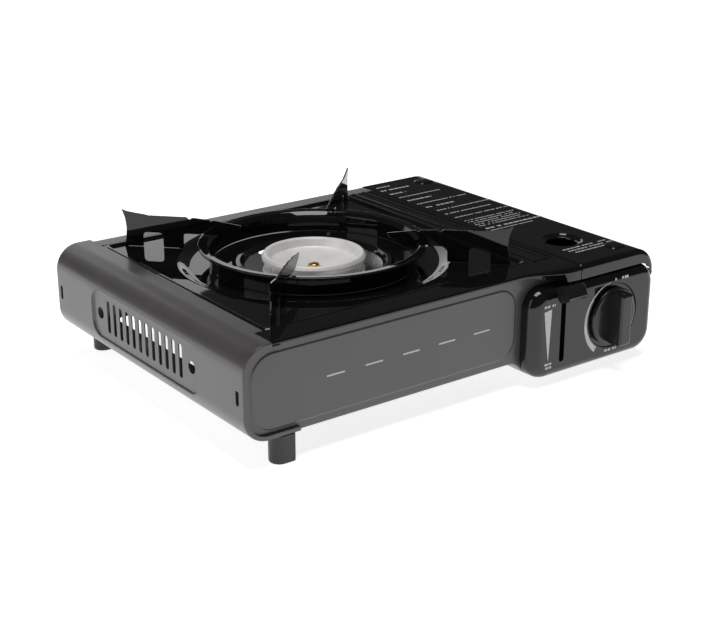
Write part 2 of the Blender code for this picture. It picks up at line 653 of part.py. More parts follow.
def make_bracket():
    """A bridge of strip under the bowl that carries the burner."""
    under = BOWL_Z - SHEET - GAP
    path = [(-74, under), (-52, under), (-45, 55.4), (45, 55.4), (52, under), (74, under)]
    loops = []
    for across in (-17.0, 17.0):
        loops.append([bridge_point(along, across, z) for along, z in sheet(path, -1.2)])
    return loft("burner_bracket", loops, "plated_steel")


def make_screws(plate, bracket, panel, regulator):
    """Screws that hold the burner's bridge to the bowl, and the regulator to the front panel."""
    under = BOWL_Z - SHEET - GAP - 1.2 - GAP
    for name, along in (("bracket_screw_front", -65), ("bracket_screw_rear", 65)):
        screw(name, bridge_point(along, 0, under), (0, 0, 1), length=3.4)
        for piece in (plate, bracket):
            hole = rod("bore", bridge_point(along, 0, BOWL_Z - 9), bridge_point(along, 0, BOWL_Z + 6), 1.9,
                       segments=12)
            cut(piece, hole)
    for name, x, z in (("regulator_screw_left", 286.0, 50.0), ("regulator_screw_right", 320.0, 22.0)):
        join(regulator, rod("boss", (x, SHEET + GAP, z), (x, 12, z), 3.4, segments=16))
        for piece, start, end in ((panel, -3, 3), (regulator, 0, 9)):
            cut(piece, rod("bore", (x, start, z), (x, end, z), 1.9, segments=12))
        screw(name, (x, -GAP, z), (0, 1, 0), length=7.5)


# Controls.

def make_knob():
    face = KNOB_FRONT
    disc = [(21.0, -0.6), (21.0, 1.6), (20.2, 2.5), (18.6, 2.9)]
    knob = turned("control_knob", disc, (KNOB_X, PANEL_FACE, KNOB_Z), (0, -1, 0), 48, "black_plastic")
    half = 5.6
    grip = []
    for y, inset in ((PANEL_FACE - 1.0, 0.0), (face + 1.0, 0.6), (face, 1.6)):
        outline = (arc(KNOB_X, KNOB_Z, 19.6 - inset, 73.5, 106.5, 6)
                   + arc(KNOB_X, KNOB_Z, 19.6 - inset, 253.5, 286.5, 6))
        grip.append([(KNOB_X + (x - KNOB_X) * (half - inset * 0.5) / half, y, z)
                     for x, z in outline])
    join(knob, loft("grip", grip))
    bore = rod("bore", (KNOB_X, 0, KNOB_Z), (KNOB_X, PANEL_FACE - 8, KNOB_Z), 3.3, segments=16)
    cut(knob, bore)
    set_axis(knob, (KNOB_X, PANEL_FACE, KNOB_Z))
    return knob


CAM_LOW, CAM_RISE = 7.0, 5.5
KNOB_TURN = 165.0


def make_knob_shaft():
    """The tap spindle, with the spiral cam that lifts the igniter's plunger."""
    shaft = rod("knob_shaft", (KNOB_X, PANEL_FACE - 7.5, KNOB_Z), (KNOB_X, 17.5, KNOB_Z), 3.0,
                "brass", 20)
    outline = []
    for i in range(34):
        turn = i * 5.0
        radius = CAM_LOW + CAM_RISE * turn / KNOB_TURN
        angle = math.radians(90 - turn)
        outline.append((KNOB_X + radius * math.cos(angle), KNOB_Z + radius * math.sin(angle)))
    outline += arc(KNOB_X, KNOB_Z, 6.6, -82, -258, 12)
    join(shaft, prism("cam", outline, "Y", 3.0, 7.0))
    set_axis(shaft, (KNOB_X, PANEL_FACE, KNOB_Z))
    return shaft


def make_igniter():
    """Piezo unit with its plunger, lead, and spark electrode on a bracket under the bowl."""
    x, y = KNOB_X, 5.0
    body = prism("piezo_body", rounded(x - 6.5, 60.0, x + 6.5, 79.5, [1.5] * 4, 3), "Y", 1.4, 12.0,
                 "black_plastic")
    cut(body, rod("bore", (x, y, 58), (x, y, 74), 2.7, segments=16))
    low = KNOB_Z + CAM_LOW + GAP
    profile = [(2.8, low), (3.2, low + 0.6), (3.2, low + 2.0), (2.2, low + 2.6), (2.2, 67.0)]
    plunger = turned("piezo_plunger", profile, (x, y, 0), segments=16, material="white_ceramic")
    set_axis(plunger, (x, y, low))

    spot = Vector((BURNER_X + 11.0, BURNER_Y - 41.0, 0))
    ceramic = turned("electrode_ceramic", [(1.6, 54.0), (2.6, 55.0), (2.6, 68.0), (1.8, 72.0)], spot,
                     segments=16, material="white_ceramic")
    cut(ceramic, rod("bore", spot + Vector((0, 0, 50)), spot + Vector((0, 0, 76)), 0.95, segments=10))
    rod("electrode_pin", spot + Vector((0, 0, 54.5)), spot + Vector((0, 0, 77.0)), 0.6,
        "plated_steel", 8)
    clip = box("electrode_bracket", (spot.x - 6.0, spot.y - 16, 60.0), (spot.x + 6.0, spot.y + 5.5, 61.0),
               "plated_steel")
    top = BOWL_Z - SHEET - 0.5
    join(clip, box("tab", (spot.x - 6.0, spot.y - 16, 60.0), (spot.x + 6.0, spot.y - 15, top)))
    cut(clip, rod("bore", spot + Vector((0, 0, 55)), spot + Vector((0, 0, 64)), 2.95, segments=16))

    route = [(x - 6.9, 8.0, 70.0), (290.0, 10.0, 70.5), (277.0, 13.5, 69.0), (262.0, 15.0, 68.0),
             (248.0, 15.0, 68.0), (234.0, 17.0, 64.0), (220.0, 24.0, 56.0), (204.0, 38.0, 48.0),
             (188.0, 54.0, 44.0), (170.0, 68.0, 42.0), (156.0, 79.0, 43.0),
             (spot.x, spot.y, 48.0), (spot.x, spot.y, 53.6)]
    lead(route)


def lead(route):
    """The ignition lead along a smooth curve through its route's points."""
    points = []
    count = len(route)
    for i in range(count - 1):
        p0, p1 = Vector(route[max(i - 1, 0)]), Vector(route[i])
        p2, p3 = Vector(route[i + 1]), Vector(route[min(i + 2, count - 1)])
        for k in range(2):
            t = k / 2
            points.append(0.5 * ((2 * p1) + (p2 - p0) * t + (2 * p0 - 5 * p1 + 4 * p2 - p3) * t * t
                                 + (3 * p1 - p0 - 3 * p2 + p3) * t ** 3))
    points.append(Vector(route[-1]))
    curve = bpy.data.curves.new("igniter_lead", "CURVE")
    curve.dimensions = "3D"
    curve.bevel_depth = 0.0011
    curve.bevel_resolution = 2
    curve.use_fill_caps = True
    spline = curve.splines.new("POLY")
    spline.points.add(len(points) - 1)
    for slot, point in zip(spline.points, points):
        slot.co = (*world(point), 1.0)
    curve.materials.append(finish("lead_cover"))
    bpy.context.scene.collection.objects.link(bpy.data.objects.new("igniter_lead", curve))


def make_lever():
    """Lock lever, drawn level and then raised to its open position about its pivot."""
    y, z = LEVER_Y, LEVER_Z
    reach = 58.5
    outline = (arc(y, z, 7.0, 55, -60, 6) + [(y - 18, z - 3.6), (y - reach, z - 2.4),
                                             (y - reach, z + 2.4), (y - 18, z + 3.6)]
               + arc(y, z + 8.0, 3.6, 200, -20, 8))
    lever = prism("lock_lever", outline, "X", LEVER_X - 1.0, LEVER_X + 1.0, "plated_steel")
    cut(lever, rod("bore", (LEVER_X - 4, y, z), (LEVER_X + 4, y, z), 2.3, segments=16))
    join(lever, rod("crank_pin", (LEVER_X + 0.5, y, z + 8), (LEVER_X + 4.4, y, z + 8), 1.5,
                    segments=12))

    back, front = y - reach - GAP, y - 70.0
    half = 4.9
    cap_side = [(back - 1.6, z - half), (front + 1.5, z - half), (front, z - half + 1.4),
                (front, z + half - 2.0), (front + 2.2, z + half), (back - 1.6, z + half),
                (back, z + half - 1.8), (back, z - half + 1.8)]
    cap = prism("lever_cap", cap_side, "X", LEVER_X - 8.5, LEVER_X + 8.5, "black_plastic")
    for piece in (lever, cap):
        set_axis(piece, (LEVER_X, y, z))
        piece.rotation_euler.x = math.radians(-LEVER_SWING)

    rod("lever_pivot_pin", (BAY_LEFT + SHEET + GAP, y, z), (263.7, y, z), 2.0, "plated_steel", 16)
    post = box("lever_bracket", (264.0, y - 9, 7.2), (265.2, y + 9, z + 7), "plated_steel")
    join(post, box("foot", (258.5, y - 9, 7.2), (264.4, y + 9, 8.4)))

    coil = []
    turns, steps = 3.0, 8
    for i in range(int(turns * steps) + 1):
        angle = 2 * math.pi * i / steps
        coil.append((258.6 + 1.25 * i / steps, y + 3.4 * math.cos(angle), z + 3.4 * math.sin(angle)))
    spring_wire("lever_spring", [(258.6, y + 3.4, z - 12)] + coil + [(262.4, y + 3.4, z - 12)], 0.45)


def spring_wire(name, path, radius):
    """A round wire along a path of bench points."""
    curve = bpy.data.curves.new(name, "CURVE")
    curve.dimensions = "3D"
    curve.bevel_depth = radius * 0.001
    curve.bevel_resolution = 1
    curve.use_fill_caps = True
    spline = curve.splines.new("POLY")
    spline.points.add(len(path) - 1)
    for slot, point in zip(spline.points, path):
        slot.co = (*world(point), 1.0)
    curve.materials.append(finish("plated_steel"))
    bpy.context.scene.collection.objects.link(bpy.data.objects.new(name, curve))


def make_slide():
    """Link rod and pusher that press the cartridge onto the regulator, and the fixed cradle."""
    z = LEVER_Z + 7.7
    link = box("link_rod", (256.0, 32.0, z - 3.2), (257.4, 229.0, z + 3.2), "plated_steel")
    pin_y = LEVER_Y + 8.0 * math.sin(math.radians(LEVER_SWING))
    cut(link, rod("eye", (250, pin_y, z), (262, pin_y, z), 2.2, segments=16))
    path = [(257.7, 216.0), (257.7, 229.0), (344.0 - 12, 229.0)]
    pusher = prism("cartridge_pusher", sheet(path, -1.2), "Z", 26.0, 62.0, "plated_steel")
    cut(pusher, rod("hole", (CARTRIDGE_X, 220, CARTRIDGE_Z), (CARTRIDGE_X, 240, CARTRIDGE_Z), 9.0,
                    segments=24))

    for name, y in (("cradle_front", 70.0), ("cradle_rear", 170.0)):
        hollow = arc(CARTRIDGE_X, CARTRIDGE_Z, 34.2, 232, 308, 10)
        outline = [(CARTRIDGE_X - 23, 7.2), (CARTRIDGE_X + 23, 7.2)] + hollow[::-1]
        prism(name, outline, "Y", y, y + 6.0, "plated_steel")


def build():
    clear_scene()
    make_left_shell()
    make_right_shell()
    panel = make_front_panel()
    make_rear_panel()
    make_partition()
    plate = make_top_plate()
    make_cover()
    make_lid()
    make_lid_pins()
    make_feet()
    make_pan_ring()
    make_pan_arms()
    make_burner()
    regulator = make_gas_train()
    make_screws(plate, make_bracket(), panel, regulator)
    make_knob()
    make_knob_shaft()
    make_igniter()
    make_lever()
    make_slide()


build()
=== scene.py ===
"""Looks of the portable gas stove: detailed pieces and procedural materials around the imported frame.

Shapes are drawn in bench coordinates, in millimetres: x runs right from the casing's left side,
y runs back from the face of the front panel, and z runs up from the ground.
"""
import json
import math
import random

import bmesh
import bpy
from mathutils import Matrix, Vector

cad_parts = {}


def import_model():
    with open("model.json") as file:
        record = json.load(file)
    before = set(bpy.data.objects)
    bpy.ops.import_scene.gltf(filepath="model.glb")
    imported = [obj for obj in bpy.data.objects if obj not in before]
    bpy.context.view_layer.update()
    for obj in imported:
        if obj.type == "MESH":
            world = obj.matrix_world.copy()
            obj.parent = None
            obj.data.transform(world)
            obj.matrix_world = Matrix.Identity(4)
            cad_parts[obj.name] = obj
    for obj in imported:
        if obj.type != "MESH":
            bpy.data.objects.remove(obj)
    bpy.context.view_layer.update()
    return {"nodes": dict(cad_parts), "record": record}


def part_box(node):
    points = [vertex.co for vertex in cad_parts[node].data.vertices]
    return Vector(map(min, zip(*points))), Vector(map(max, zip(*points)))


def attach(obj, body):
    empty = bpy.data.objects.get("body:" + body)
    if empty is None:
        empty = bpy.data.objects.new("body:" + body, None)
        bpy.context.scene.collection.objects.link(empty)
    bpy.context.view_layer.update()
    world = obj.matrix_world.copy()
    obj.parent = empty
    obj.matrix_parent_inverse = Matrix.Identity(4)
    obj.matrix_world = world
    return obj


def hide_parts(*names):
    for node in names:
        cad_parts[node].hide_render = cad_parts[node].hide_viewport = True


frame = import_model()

# Driving dimensions, in millimetres and degrees. The two box corners, BENCH (the bench's origin in
# the frame) and MERGE are in metres.
RIM_PROUD = 2.5
SHELL_LOW, SHELL_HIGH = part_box("left_shell")
BENCH = Vector((SHELL_LOW.x, SHELL_LOW.y + RIM_PROUD * 0.001, 0.0))
WIDTH = (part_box("cartridge_lid")[1].x - SHELL_LOW.x) * 1000
DEPTH = (SHELL_HIGH.y - BENCH.y) * 1000
KNOB_FRONT = (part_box("control_knob")[0].y - BENCH.y) * 1000
FLOOR_GAP = SHELL_LOW.z * 1000
CASE_TOP = SHELL_HIGH.z * 1000
BAY_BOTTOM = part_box("right_shell")[0].z * 1000

# Casing: sheet thickness, gap between neighbours, corner radii, the step down to the cartridge bay,
# the side's vents and the raised field on the front.
SHEET = 0.8
GAP = 0.3
TOP_RADIUS = 17.6
LEFT_LOW_RADIUS = 17.5
LOW_RADIUS = 15.0
REAR_INSET = 3.5
STEP_LEFT, STEP_WIDTH = 216.0, 23.0
VENT_COUNT, VENT_START, VENT_PITCH = 12, 74.4, 8.864
REAR_VENT_COUNT, REAR_VENT_START, REAR_VENT_PITCH = 7, 60.0, 22.0
FRONT_EDGE_DROP = 1.0
FIELD_FACE = -0.7

# Burner, top plate, feet and pan support.
BURNER_X, BURNER_Y = 139.8, 124.0
PLATE_LEFT, PLATE_RIGHT, PLATE_BACK = 28.0, 271.7, 229.6
BORDER_RIGHT, BORDER_FRONT = 248.0, 16.5
STRIP_LEFT, LIP_DROP = 21.5, 2.4
POCKET_Z = 81.0
BOWL_Z = 76.8
FOOT_X, FOOT_FRONT_Y, FOOT_REAR_Y = 29.7, 4.5, 240.0
FOOT_HALF_X, FOOT_HALF_Y = 7.5, 7.0
ARM_TURN = -1.1
ARM_HALF = 0.6
BLEND = 2.0
PORT_COUNT = 64

# Control panel, knob, lever and lid.
KNOB_X, KNOB_Z = 302.0, 40.0
KNOB_RADIUS, WELL_RADIUS, FLOW_RADIUS = 21.0, 23.4, 25.2
SHAFT_HOLE = 5.5
PANEL_FACE = -12.0
PANEL_LEFT, PANEL_RIGHT, PANEL_TOP = 225.0, 344.6, 71.7
PANEL_CORNER = 15.0
PANEL_LEAN = 1.35
SLOT_HALF, SLOT_LOW, SLOT_TOP = 2.3, 16.5, 69.5
LEVER_X, LEVER_Y, LEVER_Z, LEVER_SWING = 253.5, 40.0, 43.0, 24.0
LID_PIVOT_X, LID_PIVOT_Z = 343.0, 62.5
LID_LEFT, LID_FRONT, LID_BACK = 272.3, -9.0, 246.0

# A printed film stands proud of its face by PRINT and reaches into it by PRINT_SUNK.
PRINT, PRINT_SUNK = 0.06, 0.02
# Points of a mesh that are closer than this, in metres, become one.
MERGE = 1e-6


def world(point):
    """Metres in the frame, for a bench point in millimetres."""
    return BENCH + Vector(point) * 0.001


# Materials.

def principled(name):
    """A new material, its shader and its node tree."""
    material = bpy.data.materials.new(name)
    material.use_nodes = True
    return material, material.node_tree.nodes["Principled BSDF"], material.node_tree


def noise(tree, scale, detail, stretch):
    """Noise in the object's own space, in metres."""
    place = tree.nodes.new("ShaderNodeTexCoord")
    mapping = tree.nodes.new("ShaderNodeMapping")
    mapping.inputs["Scale"].default_value = stretch
    texture = tree.nodes.new("ShaderNodeTexNoise")
    texture.inputs["Scale"].default_value = scale
    texture.inputs["Detail"].default_value = detail
    tree.links.new(place.outputs["Object"], mapping.inputs["Vector"])
    tree.links.new(mapping.outputs["Vector"], texture.inputs["Vector"])
    return texture.outputs["Fac"]


def spread(tree, value, low, high):
    """Noise's middle range, 0.3 to 0.7, stretched to low..high."""
    span = tree.nodes.new("ShaderNodeMapRange")
    span.inputs["From Min"].default_value = 0.3
    span.inputs["From Max"].default_value = 0.7
    span.inputs["To Min"].default_value = low
    span.inputs["To Max"].default_value = high
    tree.links.new(value, span.inputs["Value"])
    return span.outputs["Result"]


def tint(tree, value, dark, light):
    """A colour between dark and light."""
    mix = tree.nodes.new("ShaderNodeMix")
    mix.data_type = "RGBA"
    mix.inputs["A"].default_value = (*dark, 1)
    mix.inputs["B"].default_value = (*light, 1)
    tree.links.new(value, mix.inputs["Factor"])
    return mix.outputs["Result"]


def bump(tree, shader, height, strength):
    """Fine relief, 0.2 mm at full strength."""
    node = tree.nodes.new("ShaderNodeBump")
    node.inputs["Strength"].default_value = strength
    node.inputs["Distance"].default_value = 0.0002
    tree.links.new(height, node.inputs["Height"])
    tree.links.new(node.outputs["Normal"], shader.inputs["Normal"])


def surface(name, dark, light, rough, metallic=0.0, grain=900.0, bumps=0.1, stretch=(1, 1, 1),
            blotch=30.0, coat=0.0, coat_rough=0.05):
    """A finish with uneven colour, uneven gloss and a fine grain."""
    material, shader, tree = principled(name)
    patches = noise(tree, blotch, 4.0, stretch)
    fine = noise(tree, grain, 2.0, stretch)
    tree.links.new(tint(tree, spread(tree, patches, 0, 1), dark, light), shader.inputs["Base Color"])
    tree.links.new(spread(tree, patches, rough[0], rough[1]), shader.inputs["Roughness"])
    shader.inputs["Metallic"].default_value = metallic
    shader.inputs["IOR"].default_value = 1.5
    shader.inputs["Coat Weight"].default_value = coat
    shader.inputs["Coat Roughness"].default_value = coat_rough
    bump(tree, shader, fine, bumps)
    return material


def make_materials():
    """One finish for each material slot of the record, and those of the knob, the print and the welds."""
    finishes = (
        ("gray_paint", (0.058, 0.0530, 0.0530), (0.066, 0.0610, 0.0610), (0.34, 0.40),
         dict(grain=1800, bumps=0.10, coat=0.32, coat_rough=0.16)),
        ("black_enamel", (0.004, 0.004, 0.004), (0.007, 0.0065, 0.006), (0.02, 0.03),
         dict(grain=170, bumps=0.015, blotch=45)),
        ("black_plastic", (0.010, 0.010, 0.011), (0.015, 0.015, 0.016), (0.34, 0.42),
         dict(grain=2600, bumps=0.25)),
        ("knob_plastic", (0.009, 0.009, 0.010), (0.012, 0.012, 0.013), (0.20, 0.26),
         dict(grain=2600, bumps=0.08)),
        ("burner_alloy", (0.82, 0.80, 0.79), (0.90, 0.885, 0.87), (0.42, 0.52),
         dict(metallic=0.2, grain=1600, bumps=0.35, blotch=90)),
        ("cast_zinc", (0.40, 0.40, 0.41), (0.50, 0.50, 0.50), (0.38, 0.52),
         dict(metallic=1.0, grain=900, bumps=0.3)),
        ("plated_steel", (0.52, 0.52, 0.52), (0.64, 0.64, 0.62), (0.22, 0.36),
         dict(metallic=1.0, grain=700, bumps=0.12, stretch=(1, 8, 1))),
        ("brass", (0.72, 0.48, 0.20), (0.86, 0.63, 0.30), (0.22, 0.34),
         dict(metallic=1.0, grain=900, bumps=0.15)),
        ("white_ceramic", (0.78, 0.77, 0.72), (0.86, 0.85, 0.81), (0.16, 0.26),
         dict(grain=600, bumps=0.05)),
        ("seal_rubber", (0.014, 0.014, 0.014), (0.026, 0.026, 0.026), (0.55, 0.75),
         dict(grain=1400, bumps=0.3)),
        ("lead_cover", (0.60, 0.58, 0.53), (0.72, 0.70, 0.64), (0.40, 0.55),
         dict(grain=1200, bumps=0.1)),
        ("print_ink", (0.48, 0.465, 0.455), (0.58, 0.565, 0.555), (0.40, 0.55),
         dict(grain=3000, bumps=0.2, blotch=900)),
        ("weld_steel", (0.35, 0.34, 0.33), (0.5, 0.49, 0.47), (0.12, 0.3),
         dict(metallic=1.0, grain=900, bumps=0.3)),
    )
    return {name: surface(name, dark, light, rough, **more)
            for name, dark, light, rough, more in finishes}


# Outlines, as lists of (u, v) points in millimetres.

def arc(centre_u, centre_v, radius, start, end, steps):
    """Points on an arc, from angle start to angle end in degrees."""
    points = []
    for i in range(steps + 1):
        angle = math.radians(start + (end - start) * i / steps)
        points.append((centre_u + radius * math.cos(angle), centre_v + radius * math.sin(angle)))
    return points


def rounded(u0, v0, u1, v1, radii, steps=10):
    """A rectangle with corner radii (low left, low right, top right, top left)."""
    a, b, c, d = radii
    return (arc(u0 + a, v0 + a, a, 180, 270, steps) + arc(u1 - b, v0 + b, b, 270, 360, steps)
            + arc(u1 - c, v1 - c, c, 0, 90, steps) + arc(u0 + d, v1 - d, d, 90, 180, steps))


def offset(path, distance, closed=False):
    """The path moved to its left by distance."""
    moved = []
    count = len(path)
    for i, (u, v) in enumerate(path):
        if closed:
            before, after = path[i - 1], path[(i + 1) % count]
        else:
            before, after = path[max(i - 1, 0)], path[min(i + 1, count - 1)]
        normals = []
        for (u0, v0), (u1, v1) in ((before, (u, v)), ((u, v), after)):
            length = math.hypot(u1 - u0, v1 - v0)
            if length > 1e-9:
                normals.append(((v0 - v1) / length, (u1 - u0) / length))
        nu = sum(n[0] for n in normals) / len(normals)
        nv = sum(n[1] for n in normals) / len(normals)
        scale = distance / max(nu * nu + nv * nv, 0.3)
        moved.append((u + nu * scale, v + nv * scale))
    return moved


def sheet(path, thickness):
    """Outline of a bent sheet that lies to the left of an open path."""
    return list(path) + offset(path, thickness)[::-1]


def fillet(path, radius, closed=False, steps=4):
    """A path whose corners are rounded; radius is one number or one for each point."""
    count = len(path)
    radii = radius if isinstance(radius, (list, tuple)) else [radius] * count
    soft = []
    for i, corner in enumerate(path):
        if not closed and i in (0, count - 1) or radii[i] <= 0:
            soft.append(corner)
            continue
        here = Vector(corner)
        back, on = Vector(path[i - 1]) - here, Vector(path[(i + 1) % count]) - here
        if back.length < 1e-6 or on.length < 1e-6:
            soft.append(corner)
            continue
        turn = back.angle(on)
        if turn > math.radians(176) or turn < math.radians(4):
            soft.append(corner)
            continue
        reach = min(radii[i] / math.tan(turn / 2), back.length * 0.48, on.length * 0.48)
        start, end = here + back.normalized() * reach, here + on.normalized() * reach
        for k in range(steps + 1):
            t = k / steps
            point = start * (1 - t) ** 2 + here * 2 * t * (1 - t) + end * t * t
            soft.append((point.x, point.y))
    return soft


def ease(t):
    """Smooth step from 0 to 1."""
    t = min(max(t, 0.0), 1.0)
    return t * t * (3 - 2 * t)


# Solids.

def solid(name, points, faces):
    """One closed body from bench points and faces, with its faces turned outwards."""
    shape = bmesh.new()
    vertices = [shape.verts.new(world(p)) for p in points]
    for face in faces:
        shape.faces.new([vertices[i] for i in face])
    bmesh.ops.remove_doubles(shape, verts=shape.verts, dist=MERGE)
    bmesh.ops.recalc_face_normals(shape, faces=shape.faces)
    mesh = bpy.data.meshes.new(name)
    shape.to_mesh(mesh)
    shape.free()
    piece = bpy.data.objects.new(name, mesh)
    bpy.context.scene.collection.objects.link(piece)
    return piece


def prism(name, outline, axis, low, high):
    """An outline pushed along X (outline in y, z), Y (in x, z) or Z (in x, y)."""
    order = {"X": lambda u, v, w: (w, u, v), "Y": lambda u, v, w: (u, w, v),
             "Z": lambda u, v, w: (u, v, w)}[axis]
    return loft(name, [[order(u, v, w) for u, v in outline] for w in (low, high)])


def loft(name, loops, closed=False):
    """A skin over loops with equal point counts; its two ends are capped unless it closes on itself."""
    count = len(loops[0])
    points = [p for loop in loops for p in loop]
    faces = []
    pairs = len(loops) if closed else len(loops) - 1
    for k in range(pairs):
        a, b = k * count, ((k + 1) % len(loops)) * count
        for i in range(count):
            j = (i + 1) % count
            faces.append([a + i, a + j, b + j, b + i])
    if not closed:
        faces.append(list(range(count)))
        faces.append(list(range(len(points) - 1, len(points) - count - 1, -1)))
    return solid(name, points, faces)


def turned(name, profile, foot, direction=(0, 0, 1), segments=96, ring=False):
    """A profile of (radius, height) points turned about an axis through foot."""
    axis = Vector(direction).normalized()
    side = axis.orthogonal().normalized()
    across = axis.cross(side)
    loops = []
    for radius, height in profile:
        loop = []
        for i in range(segments):
            angle = 2 * math.pi * i / segments
            spoke = side * math.cos(angle) + across * math.sin(angle)
            loop.append(Vector(foot) + axis * height + spoke * radius)
        loops.append(loop)
    return loft(name, loops, closed=ring)


def rod(name, start, end, radius, segments=32):
    """A round bar from start to end."""
    run = Vector(end) - Vector(start)
    return turned(name, [(radius, 0), (radius, run.length)], start, run, segments)


def box(name, low, high):
    """A block between two corners."""
    outline = [(low[0], low[1]), (high[0], low[1]), (high[0], high[1]), (low[0], high[1])]
    return prism(name, outline, "Z", low[2], high[2])


def flatten(mesh):
    """Merges points that coincide and splits faces that are not flat."""
    shape = bmesh.new()
    shape.from_mesh(mesh)
    bmesh.ops.remove_doubles(shape, verts=shape.verts, dist=MERGE)
    bmesh.ops.dissolve_degenerate(shape, edges=shape.edges, dist=MERGE)
    bent = []
    for face in shape.faces:
        if len(face.verts) > 3:
            centre, normal = face.calc_center_median(), face.normal
            if max(abs((v.co - centre).dot(normal)) for v in face.verts) > MERGE * 0.01:
                bent.append(face)
    bmesh.ops.triangulate(shape, faces=bent)
    shape.to_mesh(mesh)
    shape.free()


def combine(target, tool, operation):
    """Boolean of two solids; the tool is used up."""
    flatten(target.data)
    flatten(tool.data)
    modifier = target.modifiers.new(operation, "BOOLEAN")
    modifier.operation = operation
    modifier.solver = "EXACT"
    modifier.object = tool
    result = target.evaluated_get(bpy.context.evaluated_depsgraph_get())
    mesh = bpy.data.meshes.new_from_object(result)
    target.modifiers.clear()
    mesh.name = target.name
    target.data = mesh
    bpy.data.objects.remove(tool)


def cut(target, tool):
    """Takes the tool away from the target."""
    combine(target, tool, "DIFFERENCE")


def join(target, tool):
    """Adds the tool to the target."""
    combine(target, tool, "UNION")


def show(piece, finish, body="root", stands_for=(), crease=30, even=True):
    """Gives a piece its material, its shading and its place on a body of the frame."""
    piece.data.materials.clear()
    piece.data.materials.append(FINISH[finish])
    piece.data.shade_smooth()
    piece.data.set_sharp_from_angle(angle=math.radians(crease))
    if even:
        modifier = piece.modifiers.new("even_normals", "WEIGHTED_NORMAL")
        modifier.keep_sharp = True
        modifier.weight = 90
    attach(piece, body)
    if stands_for:
        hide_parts(*stands_for)
    return piece


# Casing.

def shell_rows():
    """Rows along the depth of (y, inset, thickness): a rolled rim at the front and at the back."""
    rim, roll = 3.0, 0.9
    front = []
    for i in range(5):
        angle = math.radians(90 * i / 4)
        inset = roll * (1 - math.sin(angle))
        front.append((-RIM_PROUD + roll * (1 - math.cos(angle)), inset, rim - inset))
    back = [(DEPTH - RIM_PROUD - y, inset, thick) for y, inset, thick in front[::-1]]
    middle = [(-GAP, 0, rim), (-GAP, 0, SHEET), (DEPTH - REAR_INSET + GAP, 0, SHEET),
              (DEPTH - REAR_INSET + GAP, 0, rim)]
    return front + middle + back


def make_left_shell():
    """The C-shaped side of the casing, with rolled rims and the pressed vent panel."""
    low = LEFT_LOW_RADIUS
    outer = ([(41.0, FLOOR_GAP)] + arc(low, FLOOR_GAP + low, low, 270, 180, 24)
             + arc(TOP_RADIUS, CASE_TOP - TOP_RADIUS, TOP_RADIUS, 180, 90, 28)
             + [(PLATE_LEFT - GAP, CASE_TOP)])
    loops = []
    for y, inset, thick in shell_rows():
        section = offset(outer, -inset) + offset(outer, -inset - thick)[::-1]
        loops.append([(x, y, z) for x, z in section])
    shell = loft("casing_left_side", loops)

    tray = (50.0, 33.0, 194.0, 67.0)
    wall = rounded(tray[0] - 1, tray[1] - 1, tray[2] + 1, tray[3] + 1, [12.0] * 4)
    join(shell, prism("tray", wall, "X", 0.4, 2.3))
    rows = [(-0.6, -0.9), (-0.02, -0.85), (0.04, -0.55), (0.16, -0.28), (0.36, -0.05), (0.62, 0.1),
            (1.0, 0.3), (1.24, 0.48), (1.4, 0.76), (1.48, 1.1), (1.5, 1.5)]
    hollow = []
    for x, inset in rows:
        outline = rounded(tray[0] + inset, tray[1] + inset, tray[2] - inset, tray[3] - inset,
                          [11.0 - inset] * 4)
        hollow.append([(x, y, z) for y, z in outline])
    cut(shell, loft("hollow", hollow))
    for i in range(VENT_COUNT):
        y = VENT_START + i * VENT_PITCH
        cut(shell, prism("vent", rounded(y - 2.1, 38.8, y + 2.1, 62.3, [2.05] * 4, 6), "X", -2, 5))
    for y in (60.4, 183.7):
        cut(shell, rod("hole", (-2, y, 50.5), (5, y, 50.5), 4.25))
    for y in (4.8, 241.5):
        cut(shell, prism("tab_slot", rounded(y - 1.8, 44.2, y + 1.8, 54.6, [1.7] * 4, 5), "X", -2, 5))
    cut(shell, box("corner", (STRIP_LEFT - GAP, -5, CASE_TOP - LIP_DROP - GAP),
                   (40, BORDER_FRONT + 0.9 + GAP, CASE_TOP + 2)))
    show(shell, "gray_paint", stands_for=("left_shell",))


def step_path(inset=0.0):
    """Underside of the casing from left to right: level, then down an S to the cartridge bay."""
    rise = FLOOR_GAP - BAY_BOTTOM
    path = []
    for i in range(25):
        t = i / 24
        drop = rise * (1 - math.cos(math.pi * t)) / 2
        path.append((STEP_LEFT + STEP_WIDTH * t, FLOOR_GAP - drop + inset))
    return path


def panel_outline(inset, drop=0.0):
    """Outline of a front or rear panel; past the left shell its lower edge hangs lower by drop."""
    extra = inset - SHEET - GAP
    right, right_top, left_top = WIDTH - 1.4 - extra, 71.0 - extra, 271.0 - extra
    top = CASE_TOP - inset
    low, r_top, r_right = LEFT_LOW_RADIUS, TOP_RADIUS - inset, 14.0 - extra
    outline = arc(low, FLOOR_GAP + low, low - inset, 180, 270, 16)
    outline += [(41.6, FLOOR_GAP + inset), (42.5, FLOOR_GAP + inset - drop)]
    outline += step_path(inset - drop)
    outline += arc(right - r_right, BAY_BOTTOM + inset + r_right, r_right, 270, 360, 12)
    outline += [(right, 63.5 - extra), (right - 3.5, right_top), (left_top, right_top),
                (left_top, top - 1.0)]
    outline += arc(TOP_RADIUS, CASE_TOP - TOP_RADIUS, r_top, 90, 180, 20)
    return outline


